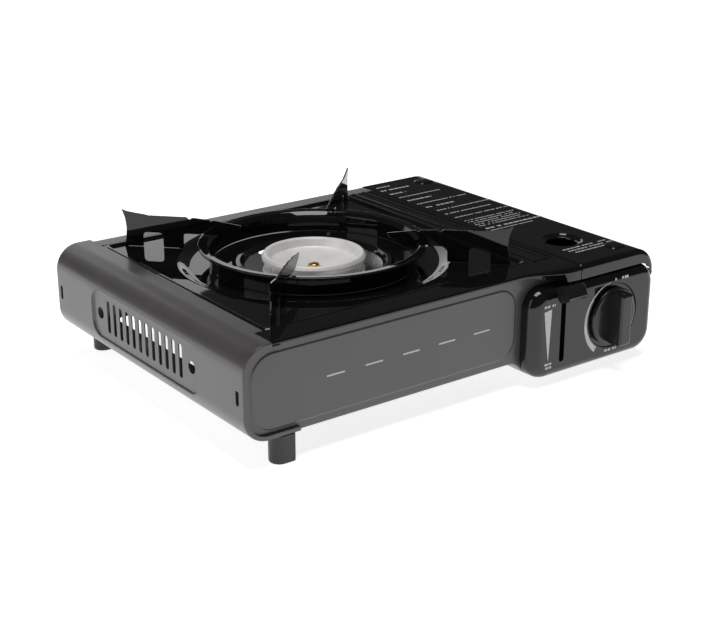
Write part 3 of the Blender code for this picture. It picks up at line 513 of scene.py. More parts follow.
def pressed_panel(name, rows, drop=0.0, wall=SHEET):
    """A pan-shaped panel: rows of (inset, y) from its rim to its face, with a wall's thickness."""
    outer = [[(x, y, z) for x, z in panel_outline(inset, drop)] for inset, y in rows]
    sign = 1 if rows[0][1] > rows[-1][1] else -1
    inner = [[(x, y + sign * wall * 0.9, z) for x, z in panel_outline(inset + wall * 0.9, drop)]
             for inset, y in rows[1:]]
    rim = [[(x, rows[0][1], z) for x, z in panel_outline(rows[0][0] + wall, drop)]]
    return loft(name, outer[::-1] + rim + inner)


def lever_slot(steps):
    """Outline (x, z) of the slot that the lock lever swings in."""
    return rounded(LEVER_X - SLOT_HALF, SLOT_LOW, LEVER_X + SLOT_HALF, SLOT_TOP, [2.2] * 4, steps)


def make_front_panel():
    """The front wall, with its raised field and the openings of the knob's shaft and the lever."""
    edge = SHEET + GAP
    rows = [(edge, 1.0), (edge + 0.05, 0.4), (edge + 0.3, 0.22), (edge + 0.8, 0.07), (edge + 1.5, 0.0)]
    panel = pressed_panel("front_casing_panel", rows, FRONT_EDGE_DROP)
    steps = [(0.5, -0.95), (0.0, -0.9), (-0.08, -0.5), (-0.28, -0.1), (-0.5, 0.15), (-0.64, 0.5),
             (FIELD_FACE, 1.0)]
    field = []
    for y, inset in steps:
        outline = rounded(6.6 + inset, 25.2 + inset, 219 - inset, 75 - inset,
                          [16.0 - inset, 14.0 - inset, 14.0 - inset, 16.0 - inset], 12)
        field.append([(x, y, z) for x, z in outline])
    join(panel, loft("field", field))
    cut(panel, rod("shaft_hole", (KNOB_X, -5, KNOB_Z), (KNOB_X, 5, KNOB_Z), SHAFT_HOLE))
    cut(panel, prism("slot", lever_slot(5), "Y", -5, 5))
    show(panel, "gray_paint", stands_for=("front_panel",))


def make_rear_panel():
    """The back wall, folded forward into the gray strip behind the top plate."""
    edge = SHEET + GAP
    back = DEPTH - REAR_INSET
    rows = [(edge, back - 5.0), (edge, back - 1.6), (edge + 0.2, back - 0.9), (edge + 0.7, back - 0.3),
            (edge + 1.4, back)]
    panel = pressed_panel("rear_casing_panel", rows)
    wall = [(back, 70.0), (back, CASE_TOP - 3.0)]
    strip = wall + arc(back - 3, CASE_TOP - 3, 3, 0, 90, 8)[1:] + [(PLATE_BACK + GAP, CASE_TOP)]
    join(panel, prism("strip", sheet(strip, SHEET), "X", PLATE_LEFT, 271.4))
    for i in range(REAR_VENT_COUNT):
        x = REAR_VENT_START + i * REAR_VENT_PITCH
        cut(panel, prism("vent", rounded(x, 44, x + 12, 49, [2.4] * 4, 5), "Y", back - 8, back + 5))
    show(panel, "gray_paint", stands_for=("rear_panel",))


def make_right_shell():
    """The floor and the right-hand wall of the cartridge bay."""
    path = step_path()[1:]
    path += arc(WIDTH - LOW_RADIUS, BAY_BOTTOM + LOW_RADIUS, LOW_RADIUS, 270, 360, 24)
    path += [(WIDTH, 57.5)]
    shell = prism("bay_floor_and_side", sheet(path, SHEET), "Y", -RIM_PROUD + 1.5, DEPTH)
    cut(shell, box("front", (210, -5, -5), (342, 1.4, BAY_BOTTOM + SHEET + 20)))
    for y in (60.0, 90.0, 120.0, 150.0, 180.0):
        slot = rounded(280, y, 330, y + 5, [2.4] * 4, 5)
        cut(shell, prism("drain", slot, "Z", 0, 12))
    show(shell, "gray_paint", stands_for=("right_shell",))


# Top plate.

def border_reach(angle, inset, corner):
    """Distance from the burner's axis to the plate's rounded border, moved in by inset."""
    x0, x1 = PLATE_LEFT + inset, BORDER_RIGHT - inset
    y0, y1 = BORDER_FRONT + inset, PLATE_BACK - inset
    middle = ((x0 + x1) / 2, (y0 + y1) / 2)
    half = ((x1 - x0) / 2 - corner, (y1 - y0) / 2 - corner)
    c, s = math.cos(angle), math.sin(angle)
    low, high = 40.0, 200.0
    for _ in range(28):
        reach = (low + high) / 2
        u = abs(BURNER_X + reach * c - middle[0]) - half[0]
        v = abs(BURNER_Y + reach * s - middle[1]) - half[1]
        out = math.hypot(max(u, 0), max(v, 0)) + min(max(u, v), 0.0) - corner
        if out > 0:
            high = reach
        else:
            low = reach
    return low


def plate_profile():
    """Rows of (inset from the border, largest radius, height), from the border to the burner hole."""
    border = fillet([(0.0, CASE_TOP - 0.25), (0.75, CASE_TOP - 0.25), (1.4, CASE_TOP + 0.4),
                     (2.9, CASE_TOP + 0.4), (3.7, CASE_TOP - 0.5), (4.3, POCKET_Z), (6.2, POCKET_Z)],
                    [0, 0.4, 0.5, 0.6, 0.4, 0.8, 0], steps=5)
    rows = [(inset, 999.0, z) for inset, z in border]
    bowl = fillet([(106.0, POCKET_Z), (96.0, POCKET_Z), (89.0, BOWL_Z), (57.5, BOWL_Z),
                   (55.0, BOWL_Z + 1.6), (51.8, BOWL_Z + 1.6), (50.4, BOWL_Z - 0.2), (49.0, BOWL_Z - 1.5)],
                  [0, 9.0, 9.0, 1.2, 1.2, 1.0, 0.8, 0], steps=8)
    rows += [(7.0 + 0.25 * i, radius, z) for i, (radius, z) in enumerate(bowl)]
    return rows


def front_strip_section(x):
    """Section (y, z) of the strip in front of the border; its lip flares forward at the right."""
    flare = ease((x - 222.0) / 44.0)
    face = -1.1 + (LID_FRONT + 1.1) * flare
    low = CASE_TOP - LIP_DROP - (CASE_TOP - LIP_DROP - PANEL_TOP - 0.6) * flare
    crown = 1.3 + 2.2 * flare
    top = [(BORDER_FRONT + 0.9, CASE_TOP), (12.0, CASE_TOP - 0.08),
           (face + 4.0 + 3 * flare, CASE_TOP - 0.30), (face + crown + 0.6, CASE_TOP - 0.40 - 0.2 * flare)]
    top += arc(face + crown, CASE_TOP - 0.4 - 0.3 * flare - crown, crown, 90, 180, 8)[1:]
    top += [(face, low)]
    return sheet(top, SHEET)


def make_top_plate():
    """The pressed plate: a bead, a sunken square with four pockets, and a bowl with the burner hole."""
    count = 288
    top, under = [], []
    for inset, radius, z in plate_profile():
        corner = max(4.2 - inset * 0.4, 2.6)
        loop = []
        for i in range(count):
            angle = 2 * math.pi * i / count
            reach = border_reach(angle, inset, corner)
            # Where the bowl comes close to the border, the two blend.
            blend = max(BLEND - abs(reach - radius), 0.0) / BLEND
            reach = min(reach, radius) - blend * blend * BLEND / 4
            loop.append((BURNER_X + reach * math.cos(angle), BURNER_Y + reach * math.sin(angle), z))
        top.append(loop)
        under.append([(x, y, z - SHEET) for x, y, z in loop])
    plate = loft("pressed_top_plate", top + under[::-1], closed=True)

    stations = [STRIP_LEFT, 222.0] + [222.0 + 4.0 * i for i in range(1, 12)] + [PLATE_RIGHT]
    loops = [[(x, y, z) for y, z in front_strip_section(x)] for x in stations]
    join(plate, loft("front_strip", loops))
    right = [(BORDER_RIGHT - 0.9, CASE_TOP), (250.6, CASE_TOP), (251.6, CASE_TOP + 0.6),
             (253.4, CASE_TOP + 0.6), (254.4, CASE_TOP + 0.2), (260.8, CASE_TOP + 0.2),
             (261.8, CASE_TOP + 0.6), (263.6, CASE_TOP + 0.6), (264.8, CASE_TOP - 0.6),
             (268.2, CASE_TOP - 0.6), (269.0, CASE_TOP), (PLATE_RIGHT, CASE_TOP)]
    section = fillet(right, 0.5, steps=3)
    section += [(PLATE_RIGHT, CASE_TOP - 1.5), (BORDER_RIGHT - 0.9, CASE_TOP - 1.5)]
    join(plate, prism("right_strip", section, "Y", BORDER_FRONT + 0.3, PLATE_BACK - 0.05))
    show(plate, "black_enamel", stands_for=("top_plate",), crease=38)


# Control panel and lid.

def dome(low, high, radii, rows):
    """Loops of a rounded rectangle that shrinks by rows of (inset, y), more at its left side."""
    loops = []
    for inset, y in rows:
        inner = [max(r - inset, 0.8) for r in radii]
        outline = rounded(low[0] + inset * PANEL_LEAN, low[1] + inset, high[0] - inset,
                          high[1] - inset, inner, 14)
        loops.append([(x, y, z) for x, z in outline])
    return loops


def make_control_panel():
    """The control panel's shell, with its lever slot and the recess of the knob."""
    low, high = (PANEL_LEFT, BAY_BOTTOM), (PANEL_RIGHT, PANEL_TOP)
    radii = [16.0, 16.0, PANEL_CORNER, 14.0]
    depth = -PANEL_FACE - 4.0
    rows = [(0, -GAP), (0, -2.0)]
    for i in range(1, 13):
        angle = math.radians(90 * i / 12)
        rows.append((7.4 * (1 - math.cos(angle)), -4.0 - depth * math.sin(angle)))
    inner_rows = [(1.8, -GAP), (1.8, -3.5), (2.6, -5.6), (4.4, -8.2), (7.9, PANEL_FACE + 1.8)]
    outer = dome(low, high, radii, rows)
    inner = dome(low, high, radii, inner_rows)
    cover = loft("control_panel_cover", outer[::-1] + inner)

    well = fillet([(WELL_RADIUS + 1.2, -1.0), (WELL_RADIUS + 0.6, 0.0), (WELL_RADIUS, 0.9),
                   (WELL_RADIUS - 2.4, 1.1), (1.0, 1.1)],
                  [0, 0.5, 0.5, 0, 0], steps=4)
    cut(cover, turned("well", well, (KNOB_X, PANEL_FACE, KNOB_Z), (0, 1, 0), 96))
    cut(cover, rod("shaft_hole", (KNOB_X, -20, KNOB_Z), (KNOB_X, 5, KNOB_Z), SHAFT_HOLE))
    cut(cover, prism("slot", lever_slot(6), "Y", -20, 5))
    # The rounded corner in front of the hinge pin, inside the lid's relief.
    join(cover, rod("hinge_corner", (LID_PIVOT_X, -7.0, LID_PIVOT_Z), (LID_PIVOT_X, -0.5, LID_PIVOT_Z), 2.9))
    show(cover, "black_enamel", stands_for=("control_panel",), crease=28)


def lid_section(inset):
    """Section (x, z) of the lid, with its top and its right shoulder moved in by inset."""
    left, right, base, skirt = LID_LEFT, WIDTH, 58.3, PANEL_TOP + 0.4
    shoulder = TOP_RADIUS + 0.4
    crown = arc(right - shoulder, CASE_TOP - shoulder, shoulder - inset, 0, 90, 24)
    crown += [(left + 30, CASE_TOP - inset), (left + 5, CASE_TOP - inset - 0.02)]
    crown += arc(left + 1.6, CASE_TOP - inset - 1.6, 1.6, 90, 180, 5)
    # The hem follows the control panel's corner, and stops short of the side wall.
    centre_x, centre_z, sweep = PANEL_RIGHT - PANEL_CORNER, PANEL_TOP - PANEL_CORNER, PANEL_CORNER + 0.4
    reach = min((right - inset - 1.6 - centre_x) / sweep, math.cos(math.radians(30)))
    hem = arc(centre_x, centre_z, sweep, 90, math.degrees(math.acos(reach)), 12)
    wall = [(right - inset - SHEET - 0.2, base), (right - inset, base)]
    return [(left, skirt)] + hem + wall + crown


def make_lid():
    """The bay's lid, softly rounded over its front and rear ends."""
    left, right, front, back = LID_LEFT, WIDTH, LID_FRONT, LID_BACK
    roll = 4.2
    rows = []
    for i in range(9):
        angle = math.radians(90 * i / 8)
        rows.append((roll * (1 - math.sin(angle)), roll * 0.9 * (1 - math.cos(angle))))
    loops = [[(x, front + y, z) for x, z in lid_section(inset)] for inset, y in rows]
    loops += [[(x, back - y * 0.6, z) for x, z in lid_section(inset * 0.6)] for inset, y in rows[::-1]]
    lid = loft("bay_lid", loops)
    cut(lid, box("front_hem", (right - 4, front - 1, 50.0), (right + 2, front + SHEET, 65.2)))
    for start, end in ((front + SHEET, 3.5), (241.0, back + 1)):
        cut(lid, box("relief", (right - 8, start, 50.0), (right + 2, end, 67.5)))
    shoulder = TOP_RADIUS + 0.4
    under = arc(right - shoulder, CASE_TOP - shoulder, shoulder - SHEET, 0, 90, 16)
    hollow = [(left + SHEET, 50.0), (right - SHEET, 50.0)] + under + [(left + SHEET, CASE_TOP - SHEET)]
    cut(lid, prism("hollow", hollow, "Y", front + 3.2, back - 2.0))
    low_hollow = [(left + SHEET, 50.0), (right - 6.0, 50.0), (right - 6.0, 76.5), (left + SHEET, 76.5)]
    cut(lid, prism("front_hollow", low_hollow, "Y", front + SHEET, back - SHEET))
    cut(lid, box("edge", (left - 1, front + 3, 60.0), (left + 2, back - 3, CASE_TOP - 3.5)))
    for y in (5.0, 237.0):
        ear = ([(right - 0.4, LID_PIVOT_Z - 3), (right - 0.4, LID_PIVOT_Z + 8)]
               + arc(LID_PIVOT_X, LID_PIVOT_Z, 2.8, 90, 270, 10))
        join(lid, prism("ear", ear, "Y", y, y + 1.2))
        cut(lid, rod("bore", (LID_PIVOT_X, y - 2, LID_PIVOT_Z), (LID_PIVOT_X, y + 3, LID_PIVOT_Z), 1.8))
    # The side wall's edge is folded inward and hangs just inside the casing's wall.
    join(lid, box("fold", (right - 1.9, 12, 58.9), (right - 0.5, 230, 60.5)))
    join(lid, box("hem", (right - 1.9, 12.3, 56.9), (right - 1.1, 229.7, 59.6)))
    hole_x, hole_y = 302.0, 42.0
    ring = fillet([(11.0, -3.2), (11.0, -2.6), (11.6, -1.6), (14.0, -0.7), (15.2, 0.12), (16.2, 0.05),
                   (16.2, -0.5), (14.4, -1.5), (11.8, -2.3), (11.8, -3.2)],
                  [0, 0.6, 0.8, 1.2, 0.5, 0, 0, 0.5, 0.3, 0], steps=4)
    cut(lid, rod("dish", (hole_x, hole_y, 70), (hole_x, hole_y, 90), 15.6, 96))
    join(lid, turned("cup", ring, (hole_x, hole_y, CASE_TOP), segments=96, ring=True))
    for y in (9.0, 226.0):
        bumps = []
        for i in range(7):
            angle = math.radians(90 * i / 6)
            inset, z = 2.0 * (1 - math.cos(angle)), CASE_TOP - 0.6 + 1.5 * math.sin(angle)
            bumps.append([(u, v, z) for u, v in rounded(315.0 + inset, y - 6.5 + inset, 330.0 - inset,
                                                        y + 6.5 - inset, [4.0 - inset] * 4, 6)])
        join(lid, loft("bump", bumps))
    show(lid, "black_enamel", "lid", ("cartridge_lid",), crease=34)


def make_feet():
    """Two tall feet on the left, two low ones under the bay, all with softened edges."""
    for name, y in (("foot_front_left", FOOT_FRONT_Y), ("foot_rear_left", FOOT_REAR_Y)):
        loops = []
        for z, inset in ((0.0, 0.95), (0.1, 0.6), (0.35, 0.25), (0.9, 0.05), (2.0, 0.0),
                         (FLOOR_GAP - GAP, 0.0)):
            radii = [max(r - inset, 0.5) for r in (6.8, 1.2, 1.2, 6.8)]
            half_x, half_y = FOOT_HALF_X - inset, FOOT_HALF_Y - inset
            outline = rounded(FOOT_X - half_x, y - half_y, FOOT_X + half_x, y + half_y, radii, 8)
            loops.append([(u, v, z) for u, v in outline])
        show(loft(name + "_moulded", loops), "black_plastic", stands_for=(name,))
    for name, x, y in (("foot_front_right", 270.0, 20.0), ("foot_mid_right", 325.0, 20.0),
                       ("foot_rear_right", 300.0, 228.0)):
        profile = fillet([(5.5, 0.0), (8.0, 0.0), (8.0, 4.6), (7.2, BAY_BOTTOM - GAP)],
                         [0, 1.4, 0.6, 0], steps=5)
        show(turned(name + "_moulded", profile, (x, y, 0), segments=48), "black_plastic",
             stands_for=(name,))


# Pan support.

def make_pan_ring():
    """The support's ring, with its lip rolled outwards."""
    low = BOWL_Z + 0.5
    profile = fillet([(72.2, low), (73.4, low), (73.6, 87.6), (75.6, 89.9), (79.8, 90.3), (81.3, 90.3),
                      (81.3, 91.4), (80.2, 91.9), (75.0, 91.4), (72.4, 88.6)],
                     [0.3, 0.3, 1.5, 1.4, 0.5, 0.4, 0.4, 0.8, 1.4, 1.6], closed=True, steps=5)
    ring = turned("support_ring", profile, (BURNER_X, BURNER_Y, 0), segments=192, ring=True)
    show(ring, "black_enamel", "pan_support", ("pan_ring",), crease=40)


def arm_outline():
    """One arm in (distance from the burner, height): a jagged top, three legs and two windows."""
    foot = POCKET_Z + GAP
    top = [(52.0, 100.0), (60.0, 101.2), (72.6, 103.0), (74.0, 101.9), (75.4, 103.2), (87.6, 104.2),
           (89.8, 102.7), (92.0, 104.3)]
    rough = []
    for i in range(36):
        r = 93.0 + i * 0.8
        rough.append((r, 104.45 + 0.16 * math.sin(r * 5.1) + 0.12 * math.sin(r * 2.3 + 1.0)))
    top += rough
    top += [(122.6, 105.0), (130.0, 106.0), (136.6, 107.0), (139.6, 108.25)]
    outer = fillet([(139.6, 108.2), (137.4, 102.0), (136.6, 95.0), (137.2, 87.0), (138.5, foot)],
                   [0, 3, 6, 6, 0], steps=5)[1:]
    legs = fillet([(138.5, foot), (124.5, foot), (124.5, 92.0), (109.6, 92.0), (109.6, foot),
                   (94.7, foot), (94.5, 92.2), (84.0, 92.2)],
                  [0, 0.8, 3.4, 3.4, 0.8, 0.8, 2.2, 0], steps=6)[1:]
    inner = [(74.0, 92.2), (66.0, 92.4), (54.0, 97.0)]
    return top + outer + legs + inner


def make_pan_arms():
    """Four pressed arms with eased edges, each with two weld beads where it meets the ring."""
    outline = arm_outline()
    slim = offset(outline, -0.22, closed=True)
    half = ARM_HALF
    for name, heading in (("pan_arm_right_rear", 45), ("pan_arm_left_rear", 135),
                          ("pan_arm_left_front", 225), ("pan_arm_right_front", 315)):
        angle = math.radians(heading + ARM_TURN)
        c, s = math.cos(angle), math.sin(angle)
        loops = []
        for side, path in ((-half, slim), (-half + 0.2, outline), (half - 0.2, outline), (half, slim)):
            loops.append([(BURNER_X + r * c - side * s, BURNER_Y + r * s + side * c, z)
                          for r, z in path])
        show(loft(name + "_pressed", loops), "black_enamel", "pan_support", (name,),
             crease=50)
        for side in (-1, 1):
            bead = weld_bead(f"weld_{name[8:]}_{'left' if side > 0 else 'right'}", c, s, side)
            show(bead, "weld_steel", "pan_support", crease=60)


def weld_bead(name, c, s, side):
    """A small lumpy bead in the corner between an arm and the ring's lip."""
    reach, height = 80.3, 92.0
    half_length, half_width, half_height = 1.35, 0.8, 1.0
    along, across = Vector((c, s, 0)), Vector((-s, c, 0))
    centre = Vector((BURNER_X, BURNER_Y, height)) + along * reach + across * 0.9 * side
    loops = []
    for i in range(1, 8):
        tilt = math.pi * i / 8
        loop = []
        for k in range(14):
            turn = 2 * math.pi * k / 14
            lump = 1.0 + 0.10 * math.sin(3 * turn + 2 * tilt) + 0.06 * math.sin(5 * turn)
            ring = math.sin(tilt) * lump
            loop.append(centre + along * (half_length * ring * math.cos(turn))
                        + across * (half_width * ring * math.sin(turn))
                        + Vector((0, 0, half_height * math.cos(tilt))))
        loops.append(loop)
    return loft(name, loops)


# Burner.

def make_burner():
    """The cast cup with its ring of flame ports, and the base that it sits on."""
    foot = (BURNER_X, BURNER_Y, 0)
    cup = fillet([(30.5, 69.3), (36.2, 69.3), (36.2, 71.9), (34.7, 72.3), (34.7, 78.0), (36.4, 78.6),
                  (37.0, 81.2), (35.0, 84.0), (32.6, 83.2), (30.2, 77.6), (9.5, 73.0), (7.2, 72.4),
                  (5.0, 72.4), (5.0, 70.8), (7.2, 70.8), (29.6, 75.6), (32.6, 76.8), (32.6, 71.6),
                  (30.5, 71.0)],
                 [0, 0.6, 0.5, 0.4, 0.3, 0.8, 1.2, 1.4, 1.2, 1.6, 2.0, 0.4, 0.3, 0, 0, 0, 0, 0, 0],
                 closed=True, steps=5)
    ring = turned("burner_cup", cup, foot, segments=256, ring=True)
    port = rounded(-0.62, 73.3, 0.62, 77.4, [0.6] * 4, 2)
    cutters = []
    for i in range(PORT_COUNT):
        angle = 2 * math.pi * (i + 0.5) / PORT_COUNT
        spoke = Vector((math.cos(angle), math.sin(angle), 0))
        side = Vector((-spoke.y, spoke.x, 0))
        loops = []
        for reach in (33.6, 35.6):
            centre = Vector(foot) + spoke * reach
            loops.append([centre + side * u + Vector((0, 0, v)) for u, v in port])
        cutters.append(loft("port", loops))
    cut(ring, merged(cutters))
    show(ring, "burner_alloy", stands_for=("burner_ring",), crease=34)

    skirt = fillet([(22.0, 56.0), (26.0, 56.0), (31.5, 58.0), (33.5, 62.0), (33.5, 69.0)],
                   [0, 1.5, 2.5, 2.0, 0], steps=5)
    base = turned("burner_body", skirt, foot, segments=96)
    lug = rounded(BURNER_X - 50, BURNER_Y - 7, BURNER_X - 25, BURNER_Y + 7, [6.5, 1, 1, 6.5], 8)
    join(base, prism("lug", lug, "Z", 61.87, 66.13))
    cut(base, turned("chamber", [(22.0, 59.0), (29.5, 62.0), (29.5, 75.0)], foot, segments=64))
    join(base, rod("boss", (BURNER_X, BURNER_Y, 57.5), (BURNER_X, BURNER_Y, 70.4), 5.0))
    cut(base, rod("thread", (BURNER_X, BURNER_Y, 61.0), (BURNER_X, BURNER_Y, 75.0), 2.3, 24))
    join(base, rod("neck", tube_line(20.0), tube_line(42.0), 9.5, 48))
    cut(base, rod("mouth", tube_line(18.0), tube_line(50.0), 7.6, 48))
    show(base, "burner_alloy", stands_for=("burner_base",), crease=34)

    head = fillet([(2.0, 62.0), (2.0, 72.6), (4.3, 72.6), (4.3, 74.0), (3.4, 75.1), (1.0, 75.4)],
                  [0, 0, 0.2, 0.8, 0.8, 0], steps=4)
    bolt = turned("burner_bolt", head, foot, segments=40)
    cut(bolt, box("slot", (BURNER_X - 6, BURNER_Y - 0.55, 74.3), (BURNER_X + 6, BURNER_Y + 0.55, 77)))
    show(bolt, "brass", stands_for=("burner_screw",))


def merged(pieces):
    """Several solids that stay apart, as one cutter."""
    shape = bmesh.new()
    for piece in pieces:
        shape.from_mesh(piece.data)
        bpy.data.objects.remove(piece)
    mesh = bpy.data.meshes.new("cutters")
    shape.to_mesh(mesh)
    shape.free()
    whole = bpy.data.objects.new("cutters", mesh)
    bpy.context.scene.collection.objects.link(whole)
    return whole


def tube_line(distance):
    """A point on the mixing tube's axis, at a distance from the burner's axis."""
    start = Vector((BURNER_X, BURNER_Y, 62.5))
    run = Vector((229.0, 31.0, 29.0)) - start
    return start + run.normalized() * distance


# Controls.

def make_knob():
    """The round knob with its raised grip."""
    disc = fillet([(4.0, -0.6), (KNOB_RADIUS - 0.2, -0.6), (KNOB_RADIUS, 1.4),
                   (KNOB_RADIUS - 0.8, 2.5), (KNOB_RADIUS - 2.4, 2.9), (15.0, 2.9)],
                  [0, 0.3, 0.6, 0.6, 0.5, 0], steps=4)
    knob = turned("knob_moulded", disc, (KNOB_X, PANEL_FACE, KNOB_Z), (0, -1, 0), 128)
    half = 5.7
    reach = 19.5
    rows = [(PANEL_FACE - 1.0, 0.0), (KNOB_FRONT + 2.4, 0.35), (KNOB_FRONT + 1.3, 0.55),
            (KNOB_FRONT + 0.55, 0.95), (KNOB_FRONT + 0.12, 1.6), (KNOB_FRONT, 2.4)]
    grip = []
    for y, inset in rows:
        wide = half - inset * 0.75
        tall = reach - inset
        outline = []
        for up in (1, -1):
            for i in range(13):
                u = wide * (1 - 2 * i / 12) * up
                outline.append((KNOB_X + u, KNOB_Z + up * math.sqrt(tall * tall - u * u)))
        grip.append([(x, y, z) for x, z in outline])
    join(knob, loft("grip", grip))
    cut(knob, rod("bore", (KNOB_X, 0, KNOB_Z), (KNOB_X, PANEL_FACE - 8, KNOB_Z), 3.3))
    show(knob, "knob_plastic", "knob", ("control_knob",), crease=36)


def make_lever_cap():
    """The moulded tab on the lock lever, drawn level and turned up to the open position."""
    y, z = LEVER_Y, LEVER_Z
    back, front = y - 59.5, y - 69.6
    half = 4.9
    side = fillet([(back, z - half + 2.0), (back - 1.9, z - half), (front, z - half),
                   (front, z + half - 2.0), (front + 2.4, z + half), (back - 1.9, z + half),
                   (back, z + half - 2.0)], [0.8, 0.8, 1.6, 1.2, 1.4, 0.8, 0.8], closed=True, steps=4)
    slim = offset(side, 0.7, closed=True)
    mid = offset(side, 0.2, closed=True)
    wide = 8.5
    loops = []
    for x, path in ((-wide, slim), (-wide + 0.25, mid), (-wide + 0.8, side), (wide - 0.8, side),
                    (wide - 0.25, mid), (wide, slim)):
        loops.append([(LEVER_X + x, v, w) for v, w in path])
    c, s = math.cos(math.radians(-LEVER_SWING)), math.sin(math.radians(-LEVER_SWING))
    turned_loops = []
    for loop in loops:
        turned_loops.append([(x, y + (v - y) * c - (w - z) * s, z + (v - y) * s + (w - z) * c)
                             for x, v, w in loop])
    cap = loft("lever_tab", turned_loops)
    show(cap, "knob_plastic", "lever", ("lever_cap",), crease=40)


# Printed marks: plain shapes and strokes, with no letters.

def film(name, outline, axis, face):
    """A printed film on a face that looks along -Y (axis "Y") or +Z (axis "Z")."""
    low, high = (face - PRINT, face + PRINT_SUNK) if axis == "Y" else (face - PRINT_SUNK, face + PRINT)
    return prism(name, outline, axis, low, high)


def panel_mark(name, outline):
    """A printed mark on the control panel."""
    show(film(name, outline, "Y", PANEL_FACE), "print_ink", even=False)


def strokes(name, row_list, axis, face, body, seed):
    """Rows of short strokes of uneven length, as one piece. A row is (start, end, level, height)."""
    draw = random.Random(seed)
    films = []
    for start, end, level, height in row_list:
        u = start
        while u < end:
            length = draw.uniform(0.8, 2.1) * height
            if draw.random() < 0.16:
                u += height * 0.9
                continue
            outline = [(u, level), (min(u + length, end), level), (min(u + length, end), level + height),
                       (u, level + height)]
            films.append(film("stroke", outline, axis, face))
            u += length + height * 0.42
    whole = merged(films)
    whole.name = name
    show(whole, "print_ink", body, even=False)


def make_marks():
    """Flow arc, dot, lever wedge, rows of strokes in place of words, and bars on the front."""
    outer, inner = [], []
    for i in range(41):
        t = i / 40
        angle = math.radians(97 + 138 * t)
        width = 0.5 + 3.6 * t ** 1.5
        for side, reach in ((outer, FLOW_RADIUS + width), (inner, FLOW_RADIUS)):
            side.append((KNOB_X + reach * math.cos(angle), KNOB_Z + reach * math.sin(angle)))
    panel_mark("flow_mark", outer + inner[::-1])
    dot = arc(KNOB_X + 1.5, 66.6, 1.0, 0, 345, 15)
    panel_mark("off_mark", dot)
    wedge = [(235.4, 56.5), (240.3, 20.5), (240.9, 20.5), (242.4, 57.5)]
    panel_mark("lever_wedge", wedge)
    strokes("lever_strokes", [(235.6, 245.6, 59.2, 1.7), (237.6, 244.0, 16.6, 1.6),
                              (237.0, 244.4, 13.9, 1.6)], "Y", PANEL_FACE, "root", 3)
    strokes("knob_strokes", [(306.0, 316.0, 65.6, 2.0), (296.0, 308.0, 13.4, 1.6)], "Y",
            PANEL_FACE, "root", 4)
    rows = [(285 + 1.2 * i, 331 - 4 * (i == 0), 22.2 - 4.4 * i, 1.7) for i in range(3)]
    rows += [(277, 292, 232, 1.8)]
    for i, (start, end, height) in enumerate(((276, 305, 2.4), (276, 292, 2.2), (276, 318, 1.5),
                                              (276, 300, 2.2), (276, 326, 1.5), (276, 304, 2.2),
                                              (276, 334, 1.5), (276, 322, 1.5), (276, 330, 1.5))):
        rows.append((start, end, 222 - i * 11.5, height))
    for i in range(5):
        rows.append((276, 326 - 5 * (i % 2), 119 - 4.2 * i, 1.3))
    rows.append((276, 334, 94, 2.4))
    rows.append((276, 318, 89, 1.3))
    strokes("lid_strokes", rows, "Z", CASE_TOP, "lid", 5)
    films = []
    for i in range(5):
        x = 62.0 + 30.0 * i
        films.append(film("bar", rounded(x, 49.4, x + 14, 50.5, [0.5] * 4, 3), "Y", FIELD_FACE))
    bars = merged(films)
    bars.name = "front_bars"
    show(bars, "print_ink", even=False)


# The frame's own pieces.

def dress_frame():
    """Materials and smooth shading for every piece of the frame that stays in view."""
    for part in frame["record"]["subparts"]:
        node = frame["nodes"][part["node"]]
        node.data.materials.clear()
        node.data.materials.append(FINISH[part["material_slot"]])
        node.data.shade_smooth()
        node.data.set_sharp_from_angle(angle=math.radians(35))


# Floor, light and camera.

def make_floor():
    """A wide white ground with a glow of its own."""
    size = 12.0
    shape = bmesh.new()
    corners = [shape.verts.new((x * size, y * size, 0)) for x, y in ((-1, -1), (1, -1), (1, 1), (-1, 1))]
    shape.faces.new(corners)
    mesh = bpy.data.meshes.new("floor")
    shape.to_mesh(mesh)
    shape.free()
    floor = bpy.data.objects.new("floor", mesh)
    bpy.context.scene.collection.objects.link(floor)
    material, shader, _ = principled("floor_white")
    shader.inputs["Base Color"].default_value = (0.86, 0.86, 0.86, 1)
    shader.inputs["Roughness"].default_value = 0.9
    shader.inputs["Specular IOR Level"].default_value = 0.0
    shader.inputs["Emission Color"].default_value = (1, 1, 1, 1)
    shader.inputs["Emission Strength"].default_value = 0.82
    mesh.materials.append(material)


def area_light(name, place, target, size, radiance):
    """A soft panel of light with this radiance, unseen by the camera itself.

    It takes the shortest turn towards its target, so its sides need not end up level.
    """
    light = bpy.data.lights.new(name, "AREA")
    light.shape = "RECTANGLE"
    light.size, light.size_y = size
    light.energy = radiance * math.pi * size[0] * size[1]
    panel = bpy.data.objects.new(name, light)
    bpy.context.scene.collection.objects.link(panel)
    panel.location = place
    run = Vector(target) - Vector(place)
    panel.rotation_mode = "QUATERNION"
    panel.rotation_quaternion = run.to_track_quat("-Z", "Z")
    panel.visible_camera = False


VIEW_FORWARD = Vector((0.5565, 0.7526, -0.3521)).normalized()
VIEW_UP = Vector((0.2108, 0.2820, 0.9360))
VIEW_PLACE = Vector((-0.5870, -0.7849, 0.3986))
VIEW_LENS = 73.23

# Studio, in metres and degrees. A level backdrop would end BACKDROP_EDGE right of the view's heading.
BACKDROP_FAR, BACKDROP_SIZE, BACKDROP_EDGE = 2.4, (3.4, 1.6), 3.9
BACKDROP_RADIANCE, SIDE_RADIANCE, TOP_RADIANCE, WORLD_STRENGTH = 1.0, 1.25, 6.4, 0.05


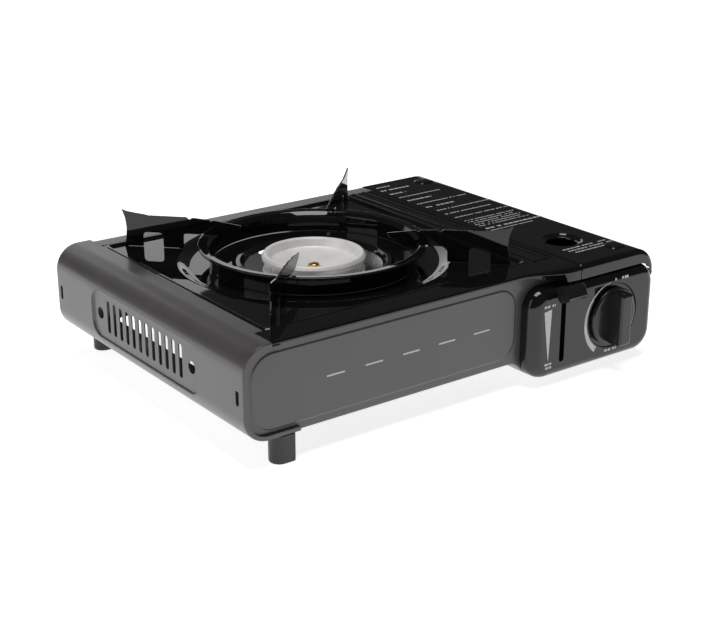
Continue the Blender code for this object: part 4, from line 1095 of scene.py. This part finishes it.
def make_studio():
    """A backdrop behind the stove, a light on its left, one above it and a dim world."""
    heading = Vector((VIEW_FORWARD.x, VIEW_FORWARD.y, 0)).normalized()
    right = Vector((heading.y, -heading.x, 0))
    wide, tall = BACKDROP_SIZE
    edge = BACKDROP_FAR * math.tan(math.radians(BACKDROP_EDGE))
    middle = heading * BACKDROP_FAR + right * (edge - wide / 2) + Vector((0, 0, tall / 2 + 0.02))
    area_light("backdrop_light", middle, middle - heading, BACKDROP_SIZE, BACKDROP_RADIANCE)
    area_light("side_light", Vector((-1.9, 0.2, 0.9)), Vector((0, 0, 0.05)), (1.6, 1.4),
               SIDE_RADIANCE)
    area_light("top_light", Vector((-0.1, -0.15, 1.7)), Vector((0, 0, 0)), (0.9, 0.9),
               TOP_RADIANCE)
    world_light = bpy.data.worlds.new("studio")
    bpy.context.scene.world = world_light
    world_light.use_nodes = True
    background = world_light.node_tree.nodes["Background"]
    background.inputs["Color"].default_value = (1, 1, 1, 1)
    background.inputs["Strength"].default_value = WORLD_STRENGTH


def make_camera():
    """The camera at VIEW_PLACE, looking along VIEW_FORWARD with VIEW_UP upwards."""
    data = bpy.data.cameras.new("camera")
    data.lens = VIEW_LENS
    data.sensor_width = 36.0
    data.clip_start, data.clip_end = 0.05, 60.0
    camera = bpy.data.objects.new("camera", data)
    bpy.context.scene.collection.objects.link(camera)
    camera.location = VIEW_PLACE
    camera.rotation_mode = "QUATERNION"
    right = VIEW_FORWARD.cross(VIEW_UP).normalized()
    upward = right.cross(VIEW_FORWARD)
    axes = Matrix((right, upward, -VIEW_FORWARD)).transposed()
    camera.rotation_quaternion = axes.to_quaternion()
    bpy.context.scene.camera = camera
    bpy.context.scene.view_settings.view_transform = "Standard"


FINISH = make_materials()
make_camera()
dress_frame()
make_left_shell()
make_front_panel()
make_rear_panel()
make_right_shell()
make_top_plate()
make_control_panel()
make_lid()
make_feet()
make_pan_ring()
make_pan_arms()
make_burner()
make_knob()
make_lever_cap()
make_marks()
make_floor()
make_studio()
